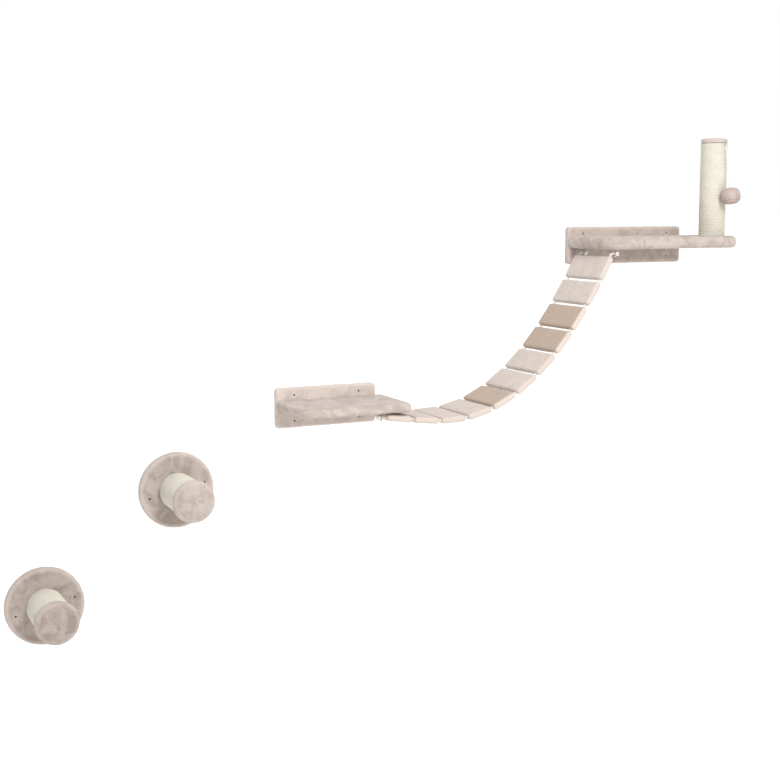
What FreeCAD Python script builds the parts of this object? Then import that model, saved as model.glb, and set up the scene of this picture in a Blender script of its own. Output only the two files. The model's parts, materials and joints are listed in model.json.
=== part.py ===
import FreeCAD, Part
import math
import os
import Sketcher

# Cat climbing wall: two round wall steps, two plush shelves, a rope bridge of padded slats
# between the shelves, and a sisal post with a hanging ball on the upper shelf.
# Frame: X to the right, Z up, the wall is the plane Y = 0 and the set stands out towards -Y.
# The origin is the middle of the lower back board, on the wall.

Vector = FreeCAD.Vector
Rotation = FreeCAD.Rotation
Placement = FreeCAD.Placement

doc = FreeCAD.newDocument("cat_climbing_wall")
sheet = doc.addObject("Spreadsheet::Sheet", "Sizes")

SIZES = [
    ("board_thickness", 18.0),
    ("plush_thickness", 3.0),
    ("plush_edge_radius", 6.0),
    ("fit_gap", 0.3),
    ("screw_clearance", 0.2),
    ("wall_screw_hole", 6.5),
    ("wall_screw_recess", 12.0),
    ("rod_diameter", 8.0),
    ("rod_clearance", 0.25),
    ("nut_width", 13.0),
    ("nut_thickness", 6.5),
    ("nut_pocket", 17.0),
    ("nut_pocket_depth", 8.0),
    ("rod_end_cover", 4.0),
    ("step_base_diameter", 200.0),
    ("step_tube_diameter", 75.0),
    ("tube_wall", 5.0),
    ("sisal_diameter", 10.4),
    ("sisal_turn_gap", 1.0),
    ("step_turns", 11),
    ("cap_diameter", 110.0),
    ("cap_board_thickness", 15.0),
    ("cap_side_padding", 4.0),
    ("cap_crown", 6.0),
    ("cap_rim_radius", 8.0),
    ("cap_hem_radius", 2.5),
    ("step_screw_spacing", 152.0),
    ("step_screw_tilt", 12.0),
    ("lower_step_across", -778.0),
    ("lower_step_up", -464.0),
    ("upper_step_across", -427.0),
    ("upper_step_up", -197.0),
    ("back_height", 109.0),
    ("back_corner_radius", 10.0),
    ("lower_back_width", 295.0),
    ("upper_back_width", 410.0),
    ("back_screw_side_inset", 52.0),
    ("back_screw_edge_inset", 20.0),
    ("shelf_reach", 204.0),
    ("shelf_corner_radius", 35.0),
    ("lower_shelf_board_thickness", 16.0),
    ("upper_shelf_board_thickness", 28.0),
    ("lower_shelf_edge_radius", 8.0),
    ("upper_shelf_edge_radius", 14.0),
    ("lower_shelf_rise", 21.0),
    ("upper_shelf_rise", 27.0),
    ("lower_shelf_overhang", 22.0),
    ("upper_shelf_overhang", 65.0),
    ("shelf_screw_diameter", 5.0),
    ("shelf_screw_length", 60.0),
    ("shelf_screw_head", 10.0),
    ("shelf_screw_inset", 55.0),
    ("lower_shelf_screws", 3),
    ("upper_shelf_screws", 4),
    ("slat_length", 73.0),
    ("slat_width", 182.0),
    ("slat_board_thickness", 12.0),
    ("slat_padding", 2.5),
    ("slat_corner_radius", 7.0),
    ("slat_edge_radius", 6.0),
    ("slat_gap", 9.5),
    ("slat_setback", 30.0),
    ("slat_tilt_first", 61.0),
    ("slat_tilt_second", 57.7),
    ("slat_tilt_third", 54.5),
    ("slat_tilt_fourth", 49.5),
    ("slat_tilt_fifth", 43.3),
    ("slat_tilt_sixth", 35.9),
    ("slat_tilt_seventh", 26.1),
    ("slat_tilt_eighth", 14.0),
    ("slat_tilt_ninth", 1.8),
    ("slat_tilt_tenth", -6.5),
    ("slat_tilt_eleventh", -8.0),
    ("bridge_rope_diameter", 8.0),
    ("bridge_rope_clearance", 1.0),
    ("bridge_rope_inset", 13.0),
    ("bridge_rope_lead", 10.0),
    ("bridge_rope_top_lead", 5.0),
    ("bridge_rope_top_radius", 10.0),
    ("bridge_rope_bend_share", 0.45),
    ("bridge_knot_diameter", 16.0),
    ("eye_ring_radius", 8.0),
    ("eye_wire_diameter", 4.0),
    ("eye_ring_drop", 12.0),
    ("eye_grip", 14.0),
    ("lower_eye_inset", 89.5),
    ("upper_eye_inset", 39.8),
    ("post_tube_diameter", 56.0),
    ("post_turns", 23),
    ("post_end_inset", 47.0),
    ("post_reach", 146.0),
    ("post_cap_diameter", 77.0),
    ("post_cap_board_thickness", 9.0),
    ("post_cap_crown", 3.0),
    ("post_cap_rim_radius", 4.5),
    ("toy_bearing", -80.0),
    ("toy_ball_width", 57.0),
    ("toy_ball_height", 48.0),
    ("toy_cord_diameter", 2.5),
    ("toy_cord_grip", 6.0),
    ("toy_drop", 150.0),
    ("toy_eye_ring_radius", 4.0),
    ("toy_eye_wire_diameter", 2.0),
    ("toy_eye_grip", 12.0),
    ("toy_ring_radius", 5.0),
    ("toy_ring_wire_diameter", 1.6),
]


class Measure:
    """A length that carries its number and the sheet formula that drives it."""

    def __init__(self, number, formula):
        self.number = number
        self.formula = formula

    def __float__(self):
        return float(self.number)

    def __add__(self, other):
        return Measure(float(self) + float(other), f"({self.formula} + {text(other)})")

    def __radd__(self, other):
        return self + other

    def __sub__(self, other):
        return Measure(float(self) - float(other), f"({self.formula} - {text(other)})")

    def __rsub__(self, other):
        return Measure(float(other) - float(self), f"({text(other)} - {self.formula})")

    def __mul__(self, other):
        return Measure(float(self) * float(other), f"({self.formula} * {text(other)})")

    def __rmul__(self, other):
        return self * other

    def __truediv__(self, other):
        return Measure(float(self) / float(other), f"({self.formula} / {text(other)})")

    def __neg__(self):
        return 0 - self


def text(value):
    """The formula of a measure, or a plain number written out."""
    if isinstance(value, Measure):
        return value.formula
    return repr(float(value))


for row, (alias, number) in enumerate(SIZES, start=1):
    sheet.set(f"A{row}", alias)
    sheet.set(f"B{row}", str(number))
    sheet.setAlias(f"B{row}", alias)
doc.recompute()


def size(alias):
    """The measure of a sheet cell, by its alias."""
    return Measure(float(sheet.get(alias)), f"Sizes.{alias}")


def bind(item, **measures):
    """Ties properties of an object to their formulas."""
    for name, measure in measures.items():
        item.setExpression(name, text(measure))


def place(item, x=0, y=0, z=0, turn=None):
    """Puts an object at a position, with a turn about its own origin."""
    item.Placement = Placement(Vector(float(x), float(y), float(z)), turn or Rotation())
    return item


# Drawing plane to wall: the sketch's X stays, its Y becomes up and its Z stands out of the wall.
OUT_OF_WALL = Rotation(Vector(1, 0, 0), 90)
ALONG_X = Rotation(Vector(0, 1, 0), 90)
FULL_TURN = 360
NUT_SIDES = 6

nodes = {}


def keep(label, item):
    """Registers an object as a finished piece under its own label."""
    item.Label = label
    nodes[label] = item
    return item


def origin_plane(body, role):
    return next(plane for plane in body.Origin.OriginFeatures if plane.Role == role)


def outline(body, role, corners, crown_from=None):
    """A closed sketch through corner points; the side after corner crown_from is a crown arc
    that ends on the vertical axis and is centred on it."""
    sketch = body.newObject("Sketcher::SketchObject", "outline")
    sketch.AttachmentSupport = [(origin_plane(body, role), "")]
    sketch.MapMode = "FlatFace"
    count = len(corners)
    points = [Vector(float(x), float(y), 0) for x, y in corners]
    for index in range(count):
        start = points[index]
        end = points[(index + 1) % count]
        if index == crown_from:
            rise = end.y - start.y
            radius = (start.x ** 2 + rise ** 2) / (2 * rise)
            centre = Vector(0, end.y - radius, 0)
            circle = Part.Circle(centre, Vector(0, 0, 1), radius)
            angle = math.atan2(start.y - centre.y, start.x)
            sketch.addGeometry(Part.ArcOfCircle(circle, angle, math.pi / 2), False)
            sketch.addConstraint(Sketcher.Constraint("PointOnObject", index, 3, -2))
        else:
            sketch.addGeometry(Part.LineSegment(start, end), False)
    for index in range(count):
        sketch.addConstraint(Sketcher.Constraint("Coincident", index, 2, (index + 1) % count, 1))
    for index, corner in enumerate(corners):
        for kind, axis, value in (("DistanceX", -2, corner[0]), ("DistanceY", -1, corner[1])):
            if float(value) == 0:
                sketch.addConstraint(Sketcher.Constraint("PointOnObject", index, 1, axis))
                continue
            number = sketch.addConstraint(Sketcher.Constraint(kind, -1, 1, index, 1, float(value)))
            sketch.setExpression(f"Constraints[{number}]", text(value))
    return sketch


def rounded(body, base, radius, wanted):
    """Fillets the edges of a feature that a test picks out."""
    doc.recompute()
    edges = [f"Edge{n}" for n, edge in enumerate(base.Shape.Edges, start=1) if wanted(edge)]
    fillet = body.newObject("PartDesign::Fillet", "rounded")
    fillet.Base = (base, edges)
    bind(fillet, Radius=radius)
    doc.recompute()
    return fillet


def turned(corners, crown_from=None, rims=()):
    """A body turned about Z from a profile of (radius, height) corners, with rounded rims given
    as (rim radius, rim height, fillet radius)."""
    body = doc.addObject("PartDesign::Body", "turned")
    sketch = outline(body, "XZ_Plane", corners, crown_from)
    feature = body.newObject("PartDesign::Revolution", "revolution")
    feature.Profile = sketch
    feature.ReferenceAxis = (sketch, ["V_Axis"])
    feature.Angle = FULL_TURN
    for rim_radius, rim_height, fillet_radius in rims:
        def on_rim(edge):
            return is_ring(edge, float(rim_radius), float(rim_height))
        feature = rounded(body, feature, fillet_radius, on_rim)
    doc.recompute()
    return body


def is_ring(edge, radius, height):
    """Whether an edge is the circle of a radius about Z at a height."""
    near = 1e-4
    box = edge.BoundBox
    level = abs(box.ZMin - height) < near and abs(box.ZMax - height) < near
    return level and abs(box.XMax - radius) < near and abs(box.YMax - radius) < near


def slab(length, width, thickness, corner=None, edge_radius=None, open_back=False, one_face=False):
    """A padded rectangle from the origin, with rounded corners and rounded edges. With open_back
    the side at full width keeps its corners and edges sharp; with one_face only the far face is
    rounded."""
    near = 1e-4
    body = doc.addObject("PartDesign::Body", "slab")
    corners = [(0, 0), (length, 0), (length, width), (0, width)]
    sketch = outline(body, "XY_Plane", corners)
    feature = body.newObject("PartDesign::Pad", "pad")
    feature.Profile = sketch
    bind(feature, Length=thickness)

    def at_back(edge):
        return open_back and edge.BoundBox.YMax > float(width) - near

    def is_upright(edge):
        box = edge.BoundBox
        return box.ZLength > near and box.XLength < near and box.YLength < near and not at_back(edge)

    def is_around(edge):
        box = edge.BoundBox
        top = box.ZMin > float(thickness) - near
        foot = box.ZMax < near and not one_face
        on_back = open_back and box.YMin > float(width) - near
        return (top or foot) and not on_back

    if corner is not None:
        feature = rounded(body, feature, corner, is_upright)
    if edge_radius is not None:
        feature = rounded(body, feature, edge_radius, is_around)
    doc.recompute()
    return body


def rod(diameter, length, x=0, y=0, z=0, turn=None):
    """A round bar along Z, then placed."""
    item = doc.addObject("Part::Cylinder", "bar")
    bind(item, Radius=diameter / 2, Height=length)
    return place(item, x, y, z, turn)


def joined(items):
    """Several tools as one."""
    item = doc.addObject("Part::MultiFuse", "joined")
    item.Shapes = items
    return item


def cut(base, tools):
    """A piece with tools taken out of it."""
    item = doc.addObject("Part::Cut", "cut")
    item.Base = base
    item.Tool = tools[0] if len(tools) == 1 else joined(tools)
    return item


def grouped(items):
    """Identical separate pieces kept together."""
    item = doc.addObject("Part::Compound", "group")
    item.Links = items
    return item


def shaped(shape):
    """An object that carries a swept shape."""
    item = doc.addObject("Part::Feature", "swept")
    item.Shape = shape
    return item


def arc_between(start, bend, end):
    """The arc from start to end whose end tangents meet at the bend point."""
    middle = (start + end) * 0.5
    half_chord = start.distanceToPoint(middle)
    rise = bend.distanceToPoint(middle)
    sagitta = half_chord * math.tan(math.atan2(rise, half_chord) / 2)
    return Part.Arc(start, middle + (bend - middle) * (sagitta / rise), end)


def biarc(start, start_way, end, end_way):
    """Two arcs that leave start along start_way and reach end along end_way."""
    chord = end - start
    ways = start_way + end_way
    spread = 2 * (1 - start_way.dot(end_way))
    straight = chord.dot(ways)
    reach = (math.sqrt(straight ** 2 + spread * chord.dot(chord)) - straight) / spread
    first = start + start_way * reach
    second = end - end_way * reach
    join = (first + second) * 0.5
    return [arc_between(start, first, join), arc_between(join, second, end)]


def swept(section, path):
    """A solid swept by a closed section along a path."""
    pipe = Part.BRepOffsetAPI.MakePipeShell(path)
    pipe.add(section)
    pipe.build()
    pipe.makeSolid()
    return pipe.shape()


SISAL_SIDES = 6
MEASURE_STEP = 3.0


def least_turn_gap(path, diameter, loop_length):
    """The least clear distance between a wound cord and its own next turns."""
    count = int(path.Length / MEASURE_STEP)
    points = path.discretize(count)
    apart = int(0.5 * loop_length / MEASURE_STEP)
    reach = int(1.5 * loop_length / MEASURE_STEP)
    least = path.Length
    for index, point in enumerate(points):
        for other in points[index + apart:index + reach]:
            least = min(least, point.distanceToPoint(other))
    return least - diameter


def winding(name, core_radius, turns):
    """Sisal cord wound about Z in one length, from height zero, its ends straight."""
    cord = float(size("sisal_diameter"))
    pitch = cord + float(size("sisal_turn_gap"))
    radius = core_radius + float(size("fit_gap")) + cord / 2
    edges = []
    stations = []
    for half in range(2 * turns + 1):
        angle = math.pi * half
        out = Vector(math.cos(angle), math.sin(angle), 0)
        side = Vector(-math.sin(angle), math.cos(angle), 0)
        way = side * (2 * math.pi * radius) + Vector(0, 0, pitch)
        way.normalize()
        stations.append((out * radius + Vector(0, 0, cord / 2 + pitch * half / 2), way))
    first, first_way = stations[0]
    last, last_way = stations[-1]
    lead = first - Vector(first_way.x, first_way.y, 0) * cord
    tail = last + Vector(last_way.x, last_way.y, 0) * cord
    edges.append(Part.LineSegment(lead, first))
    for (start, start_way), (end, end_way) in zip(stations, stations[1:]):
        edges.extend(biarc(start, start_way, end, end_way))
    edges.append(Part.LineSegment(last, tail))
    path = Part.Wire([edge.toShape() for edge in edges])
    way = (first - lead).normalize()
    radial = Vector(1, 0, 0)
    across = way.cross(radial)
    ring = []
    for corner in range(SISAL_SIDES + 1):
        angle = 2 * math.pi * (corner % SISAL_SIDES + 0.5) / SISAL_SIDES
        ring.append(lead + (radial * math.cos(angle) + across * math.sin(angle)) * (cord / 2))
    solid = swept(Part.makePolygon(ring), path)
    gap = least_turn_gap(path, cord, 2 * math.pi * radius)
    print(f"{name}: {turns} turns, least gap between turns {gap:.2f} mm")
    return shaped(solid)


def winding_height(turns):
    """Height of a winding of so many turns, with a gap at each end."""
    cord = size("sisal_diameter")
    return turns * (cord + size("sisal_turn_gap")) + cord + 2 * size("fit_gap")


def wall_screw_spots(width):
    """Wall screw places on a back board, from its middle."""
    side = width / 2 - size("back_screw_side_inset")
    top = size("back_height") / 2 - size("back_screw_edge_inset")
    return [(-side, top), (side, top), (-side, -top), (side, -top)]


def step_screw_spots():
    """Wall screw places on a round base, from its middle."""
    angle = math.radians(float(size("step_screw_tilt")))
    reach = float(size("step_screw_spacing")) / 2
    x = reach * math.cos(angle)
    y = reach * math.sin(angle)
    return [(x, y), (-x, -y)]


def hexagon_nut(x=0, y=0, z=0, turn=None):
    """A plain nut about Z."""
    prism = doc.addObject("Part::Prism", "hexagon")
    prism.Polygon = NUT_SIDES
    bind(prism, Circumradius=size("nut_width") / math.sqrt(3), Height=size("nut_thickness"))
    hole = rod(size("rod_diameter") + 2 * size("rod_clearance"), size("nut_thickness"))
    return place(cut(prism, [hole]), x, y, z, turn)


def padded_cap(board_radius, board_thickness, outer_radius, crown, rim, foot):
    """A plush cover over a round board: sides, rim and a crowned top."""
    top = foot + board_thickness
    shoulder = top + size("plush_thickness")
    inner = board_radius + size("fit_gap")
    profile = [
        (inner, foot),
        (outer_radius, foot),
        (outer_radius, shoulder),
        (0, shoulder + crown),
        (0, top),
        (inner, top),
    ]
    rims = [(outer_radius, shoulder, rim), (outer_radius, foot, size("cap_hem_radius"))]
    return turned(profile, crown_from=2, rims=rims)


def make_step(name, across, up):
    """A round wall step; returns its tie rod and nut. Drawn with Z out of the wall."""
    board = size("board_thickness")
    plush = size("plush_thickness")
    gap = size("fit_gap")
    base_radius = size("step_base_diameter") / 2
    tube_radius = size("step_tube_diameter") / 2
    board_radius = base_radius - plush - gap
    front = board + plush
    turns = int(float(size("step_turns")))
    cap_foot = front + winding_height(turns)
    cap_radius = size("cap_diameter") / 2
    cap_board_radius = cap_radius - size("cap_side_padding")
    cap_board = size("cap_board_thickness")
    bore = size("rod_diameter") + 2 * size("rod_clearance")

    blank = rod(2 * board_radius, board)
    tools = [rod(bore, board), rod(size("nut_pocket"), size("nut_pocket_depth"))]
    tools += [rod(size("wall_screw_hole"), board, x, y) for x, y in step_screw_spots()]
    base = keep(f"{name}_base_board", cut(blank, tools))

    profile = [
        (tube_radius + gap, board),
        (board_radius + gap, board),
        (board_radius + gap, 0),
        (base_radius, 0),
        (base_radius, front),
        (tube_radius + gap, front),
    ]
    skin = turned(profile, rims=[(base_radius, front, size("plush_edge_radius"))])
    holes = [rod(size("wall_screw_recess"), front, x, y) for x, y in step_screw_spots()]
    cover = keep(f"{name}_base_plush", cut(skin, holes))

    profile = [
        (tube_radius - size("tube_wall"), board),
        (tube_radius, board),
        (tube_radius, cap_foot),
        (tube_radius - size("tube_wall"), cap_foot),
    ]
    tube = keep(f"{name}_tube", turned(profile))

    sisal = keep(f"{name}_sisal", winding(f"{name}_sisal", float(tube_radius), turns))

    blank = rod(2 * cap_board_radius, cap_board, z=cap_foot)
    hole = rod(bore, cap_board - size("rod_end_cover"), z=cap_foot)
    disc = keep(f"{name}_cap_board", cut(blank, [hole]))

    crown = size("cap_crown")
    rim = size("cap_rim_radius")
    cap = padded_cap(cap_board_radius, cap_board, cap_radius, crown, rim, cap_foot)
    keep(f"{name}_cap_plush", cap)

    for piece in (base, cover, tube, disc, cap):
        place(piece, across, 0, up, OUT_OF_WALL)
    place(sisal, across, -float(front + gap), up, OUT_OF_WALL)

    start = size("nut_pocket_depth") - size("nut_thickness")
    reach = cap_foot + cap_board - size("rod_end_cover") - gap - start
    bar = rod(size("rod_diameter"), reach, across, -float(start), up, OUT_OF_WALL)
    nut = hexagon_nut(across, -float(start), up, OUT_OF_WALL)
    return bar, nut


def of_shelf(name, kind):
    """A measure that each shelf has for itself."""
    return size(f"{name}_shelf_{kind}")


def shelf_screw_spots(name):
    """Places across a back board of the screws that hold the shelf, from its middle."""
    width = size(f"{name}_back_width")
    count = int(float(of_shelf(name, "screws")))
    first = size("shelf_screw_inset") - width / 2
    step = (width - 2 * size("shelf_screw_inset")) / (count - 1)
    return [first + step * index for index in range(count)]


def shelf_level(name):
    """Height of the middle of the shelf board above the middle of the back board."""
    return of_shelf(name, "rise") - size("plush_thickness") - of_shelf(name, "board_thickness") / 2


def shelf_thickness(name):
    """Thickness of a shelf with its plush."""
    return of_shelf(name, "board_thickness") + 2 * size("plush_thickness")


def make_back(name, across, up):
    """A plush back board on the wall, drawn with Z out of the wall."""
    width = size(f"{name}_back_width")
    level = shelf_level(name)
    board = size("board_thickness")
    plush = size("plush_thickness")
    gap = size("fit_gap")
    height = size("back_height")
    corner = size("back_corner_radius")
    head = size("shelf_screw_head")
    bore = size("shelf_screw_diameter") + 2 * size("screw_clearance")
    skin = plush + gap

    def hole(diameter, length, x, y):
        return rod(diameter, length, x + width / 2, y + height / 2)

    blank = slab(width - 2 * skin, height - 2 * skin, board, corner - skin)
    place(blank, skin, skin)
    tools = [hole(size("wall_screw_hole"), board, x, y) for x, y in wall_screw_spots(width)]
    for x in shelf_screw_spots(name):
        tools.append(hole(bore, board, x, level))
        sink = doc.addObject("Part::Cone", "countersink")
        bind(sink, Radius1=head / 2 + size("screw_clearance"), Radius2=bore / 2, Height=head / 2)
        tools.append(place(sink, x + width / 2, level + height / 2))
    timber = keep(f"{name}_back_board", cut(blank, tools))

    outer = slab(width, height, board + plush, corner, size("plush_edge_radius"), one_face=True)
    cavity = slab(width - 2 * plush, height - 2 * plush, board, corner - plush)
    place(cavity, plush, plush)
    tools = [cavity]
    tools += [hole(size("wall_screw_recess"), board + plush, x, y) for x, y in wall_screw_spots(width)]
    tools += [hole(bore, board + plush, x, level) for x in shelf_screw_spots(name)]
    cover = keep(f"{name}_back_plush", cut(outer, tools))

    for piece in (timber, cover):
        place(piece, across - float(width) / 2, 0, up - float(height) / 2, OUT_OF_WALL)


def shelf_screws(name, across, up):
    """Countersunk screws from behind the back board into the shelf board's rear edge."""
    diameter = size("shelf_screw_diameter")
    head = size("shelf_screw_head")
    level = up + float(shelf_level(name))
    screws = []
    for x in shelf_screw_spots(name):
        shank = rod(diameter, size("shelf_screw_length"))
        sunk = doc.addObject("Part::Cone", "head")
        bind(sunk, Radius1=head / 2, Radius2=diameter / 2, Height=(head - diameter) / 2)
        place(sunk)
        screw = joined([shank, sunk])
        screws.append(place(screw, across + float(x), 0, level, OUT_OF_WALL))
    return screws


def make_shelf(name, left, up, eye_spots, post_spot=None):
    """A plush shelf that stands out from its back board, flush with the board's left end. Drawn
    with its front edge on the X axis."""
    back_width = size(f"{name}_back_width")
    length = back_width + of_shelf(name, "overhang")
    plush = size("plush_thickness")
    gap = size("fit_gap")
    timber = of_shelf(name, "board_thickness")
    reach = size("shelf_reach")
    corner = size("shelf_corner_radius")
    edge = of_shelf(name, "edge_radius")
    bore = size("shelf_screw_diameter") + 2 * size("screw_clearance")
    shank = size("eye_wire_diameter") + 2 * size("screw_clearance")
    front = size("board_thickness") + plush + reach
    foot = up + float(of_shelf(name, "rise") - shelf_thickness(name))
    skin = plush + gap
    screw_depth = size("shelf_screw_length") - size("board_thickness") - plush + gap

    def bored(with_gap):
        tools = []
        for x, out in eye_spots:
            depth = size("eye_grip") + gap - plush * (1 if with_gap else 0)
            tools.append(rod(shank, depth, x - left, float(front) - out, plush if with_gap else 0))
        return tools

    blank = slab(length - 2 * skin, reach - skin, timber, corner - skin, edge - skin, open_back=True)
    place(blank, skin, skin, plush)
    tools = bored(True)
    for x in shelf_screw_spots(name):
        middle = plush + timber / 2
        tools.append(rod(bore, screw_depth, x + back_width / 2, reach, middle, OUT_OF_WALL))
    if post_spot is not None:
        x = post_spot[0] - left
        y = float(front) - post_spot[1]
        tools.append(rod(size("rod_diameter") + 2 * size("rod_clearance"), timber, x, y, plush))
        tools.append(rod(size("nut_pocket"), size("nut_pocket_depth"), x, y, plush))
    wood = keep(f"{name}_shelf_board", cut(blank, tools))

    outer = slab(length, reach, shelf_thickness(name), corner, edge, open_back=True)
    inner = (length - 2 * plush, reach - plush, timber, corner - plush, edge - plush)
    cavity = slab(*inner, open_back=True)
    place(cavity, plush, plush, plush)
    tools = [cavity] + bored(False)
    if post_spot is not None:
        x = post_spot[0] - left
        y = float(front) - post_spot[1]
        tools.append(rod(size("post_tube_diameter") + 2 * gap, plush, x, y, plush + timber))
    cover = keep(f"{name}_shelf_plush", cut(outer, tools))

    for piece in (wood, cover):
        place(piece, left, -float(front), foot)


def screw_eye(x, out, ring_height):
    """A screw eye under a shelf, its ring square to X."""
    ring = doc.addObject("Part::Torus", "ring")
    bind(ring, Radius1=size("eye_ring_radius"), Radius2=size("eye_wire_diameter") / 2)
    place(ring, turn=ALONG_X)
    length = size("eye_ring_drop") + size("eye_grip") - size("eye_ring_radius")
    shank = rod(size("eye_wire_diameter"), length, z=size("eye_ring_radius"))
    return place(joined([ring, shank]), x, -out, ring_height)


SLAT_TILTS = (
    "slat_tilt_first",
    "slat_tilt_second",
    "slat_tilt_third",
    "slat_tilt_fourth",
    "slat_tilt_fifth",
    "slat_tilt_sixth",
    "slat_tilt_seventh",
    "slat_tilt_eighth",
    "slat_tilt_ninth",
    "slat_tilt_tenth",
    "slat_tilt_eleventh",
)


def way_at(tilt):
    """Unit direction along the bridge, up towards the upper shelf, for a tilt in degrees."""
    angle = math.radians(tilt)
    return Vector(math.cos(angle), 0, math.sin(angle))


def top_bend():
    """Length of rope line on each side of the bend at its upper end, from the corner."""
    turn = math.radians(float(size(SLAT_TILTS[0])))
    return float(size("bridge_rope_top_radius")) * math.tan(turn / 2)


def bridge_joints(foot):
    """The points on the rope midway between slats, from the upper end down to the foot."""
    pitch = float(size("slat_length") + size("slat_gap"))
    points = [foot]
    for alias in reversed(SLAT_TILTS):
        points.insert(0, points[0] + way_at(float(size(alias))) * pitch)
    return points


def make_slat(number, middle, tilt):
    """A padded slat: a board with two rope bores inside a plush cover."""
    length = size("slat_length")
    width = size("slat_width")
    board = size("slat_board_thickness")
    skin = size("slat_padding")
    thick = board + 2 * skin
    bore = size("bridge_rope_diameter") + 2 * size("bridge_rope_clearance")
    inset = size("bridge_rope_inset")

    def bores():
        return [rod(bore, length, 0, y, thick / 2, ALONG_X) for y in (inset, width - inset)]

    def core(extra):
        shell = skin + size("fit_gap") - extra
        block = slab(length - 2 * shell, width - 2 * shell, board)
        return place(block, shell, shell, skin)

    timber = keep(f"slat_{number:02d}_board", cut(core(0), bores()))
    outer = slab(length, width, thick, size("slat_corner_radius"), size("slat_edge_radius"))
    cover = keep(f"slat_{number:02d}_cover", cut(outer, [core(size("fit_gap"))] + bores()))
    turn = Rotation(Vector(0, 1, 0), -tilt)
    corner = Vector(-float(length) / 2, -float(width) / 2, -float(thick) / 2)
    out = float(size("slat_setback") + width / 2)
    corner = turn.multVec(corner) + Vector(middle.x, -out, middle.z)
    for piece in (timber, cover):
        place(piece, corner.x, corner.y, corner.z, turn)


def bridge_rope(name, out, joints, lower_ring, upper_ring):
    """One bridge rope: knot, lower ring, straight through each slat with a bend in each gap, then
    round to the upper ring and its knot."""
    diameter = float(size("bridge_rope_diameter"))
    knot = float(size("bridge_knot_diameter")) / 2
    wire = float(size("eye_wire_diameter")) / 2
    ring = float(size("eye_ring_radius"))
    knot_reach = math.sqrt((knot + wire + float(size("fit_gap"))) ** 2 - ring ** 2)
    bend = top_bend()
    top_corner = upper_ring - Vector(bend + float(size("bridge_rope_top_lead")), 0, 0)
    start = lower_ring - Vector(knot_reach, 0, 0)
    end = upper_ring + Vector(knot_reach, 0, 0)
    corners = [start] + list(reversed(joints[1:])) + [top_corner, end]
    reaches = [float(size("slat_gap") * size("bridge_rope_bend_share"))] * (len(joints) - 1) + [bend]
    edges = []
    radii = []
    last = corners[0]
    for before, corner, after, reach in zip(corners, corners[1:], corners[2:], reaches):
        arrive = (corner - before).normalize()
        leave = (after - corner).normalize()
        turn = math.acos(min(1.0, arrive.dot(leave)))
        first = corner - arrive * reach
        second = corner + leave * reach
        edges.append(Part.LineSegment(last, first))
        edges.append(arc_between(first, corner, second))
        radii.append(reach / math.tan(turn / 2))
        last = second
    edges.append(Part.LineSegment(last, corners[-1]))
    path = Part.Wire([edge.toShape() for edge in edges])
    section = Part.Wire([Part.makeCircle(diameter / 2, start, Vector(1, 0, 0))])
    tube = swept(section, path)
    share = tube.Volume / (math.pi * diameter ** 2 / 4 * path.Length)
    rounds = [round(radius) for radius in radii]
    print(f"{name}: volume over section times length {share:.4f}, bend radii {rounds}")
    for centre in (start, end):
        tube = tube.fuse(Part.makeSphere(knot, centre))
    return keep(name, place(shaped(tube), 0, -out, 0))


def make_post(across, out, foot):
    """The sisal post on the upper shelf; foot is the height of the shelf board's top."""
    plush = size("plush_thickness")
    gap = size("fit_gap")
    radius = size("post_tube_diameter") / 2
    turns = int(float(size("post_turns")))
    height = plush + winding_height(turns)
    cap_board = size("post_cap_board_thickness")
    cap_radius = size("post_cap_diameter") / 2
    board_radius = cap_radius - plush
    wall = size("tube_wall")
    bore = size("rod_diameter") + 2 * size("rod_clearance")

    profile = [(radius - wall, 0), (radius, 0), (radius, height), (radius - wall, height)]
    tube = keep("post_tube", turned(profile))
    sisal = keep("post_sisal", winding("post_sisal", float(radius), turns))
    blank = rod(2 * board_radius, cap_board, z=height)
    eye_level = height + cap_board / 2
    eye_hole = size("toy_eye_wire_diameter") + 2 * size("screw_clearance")
    bearing = Rotation(Vector(0, 0, 1), float(size("toy_bearing")))
    outward = bearing.multiply(ALONG_X)
    inner = board_radius - size("toy_eye_grip")
    start = bearing.multVec(Vector(float(inner - gap), 0, 0))

    def side_hole():
        return rod(eye_hole, cap_radius, start.x, start.y, eye_level, outward)

    rod_hole = rod(bore, cap_board - size("rod_end_cover"), z=height)
    disc = keep("post_cap_board", cut(blank, [rod_hole, side_hole()]))
    crown = size("post_cap_crown")
    rim = size("post_cap_rim_radius")
    skin = padded_cap(board_radius, cap_board, cap_radius, crown, rim, height)
    cap = keep("post_cap_plush", cut(skin, [side_hole()]))
    for piece in (tube, disc, cap):
        place(piece, across, -out, foot)
    place(sisal, across, -out, foot + float(plush + gap))

    timber = of_shelf("upper", "board_thickness")
    seat = float(size("nut_pocket_depth") - timber - size("nut_thickness"))
    reach = height + cap_board - size("rod_end_cover") - gap - seat
    bar = rod(size("rod_diameter"), reach, across, -out, foot + seat)
    keep("post_rod", bar)
    keep("post_nut", hexagon_nut(across, -out, foot + seat))

    make_toy(across, out, foot + float(eye_level), float(inner), float(cap_radius), bearing)


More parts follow.
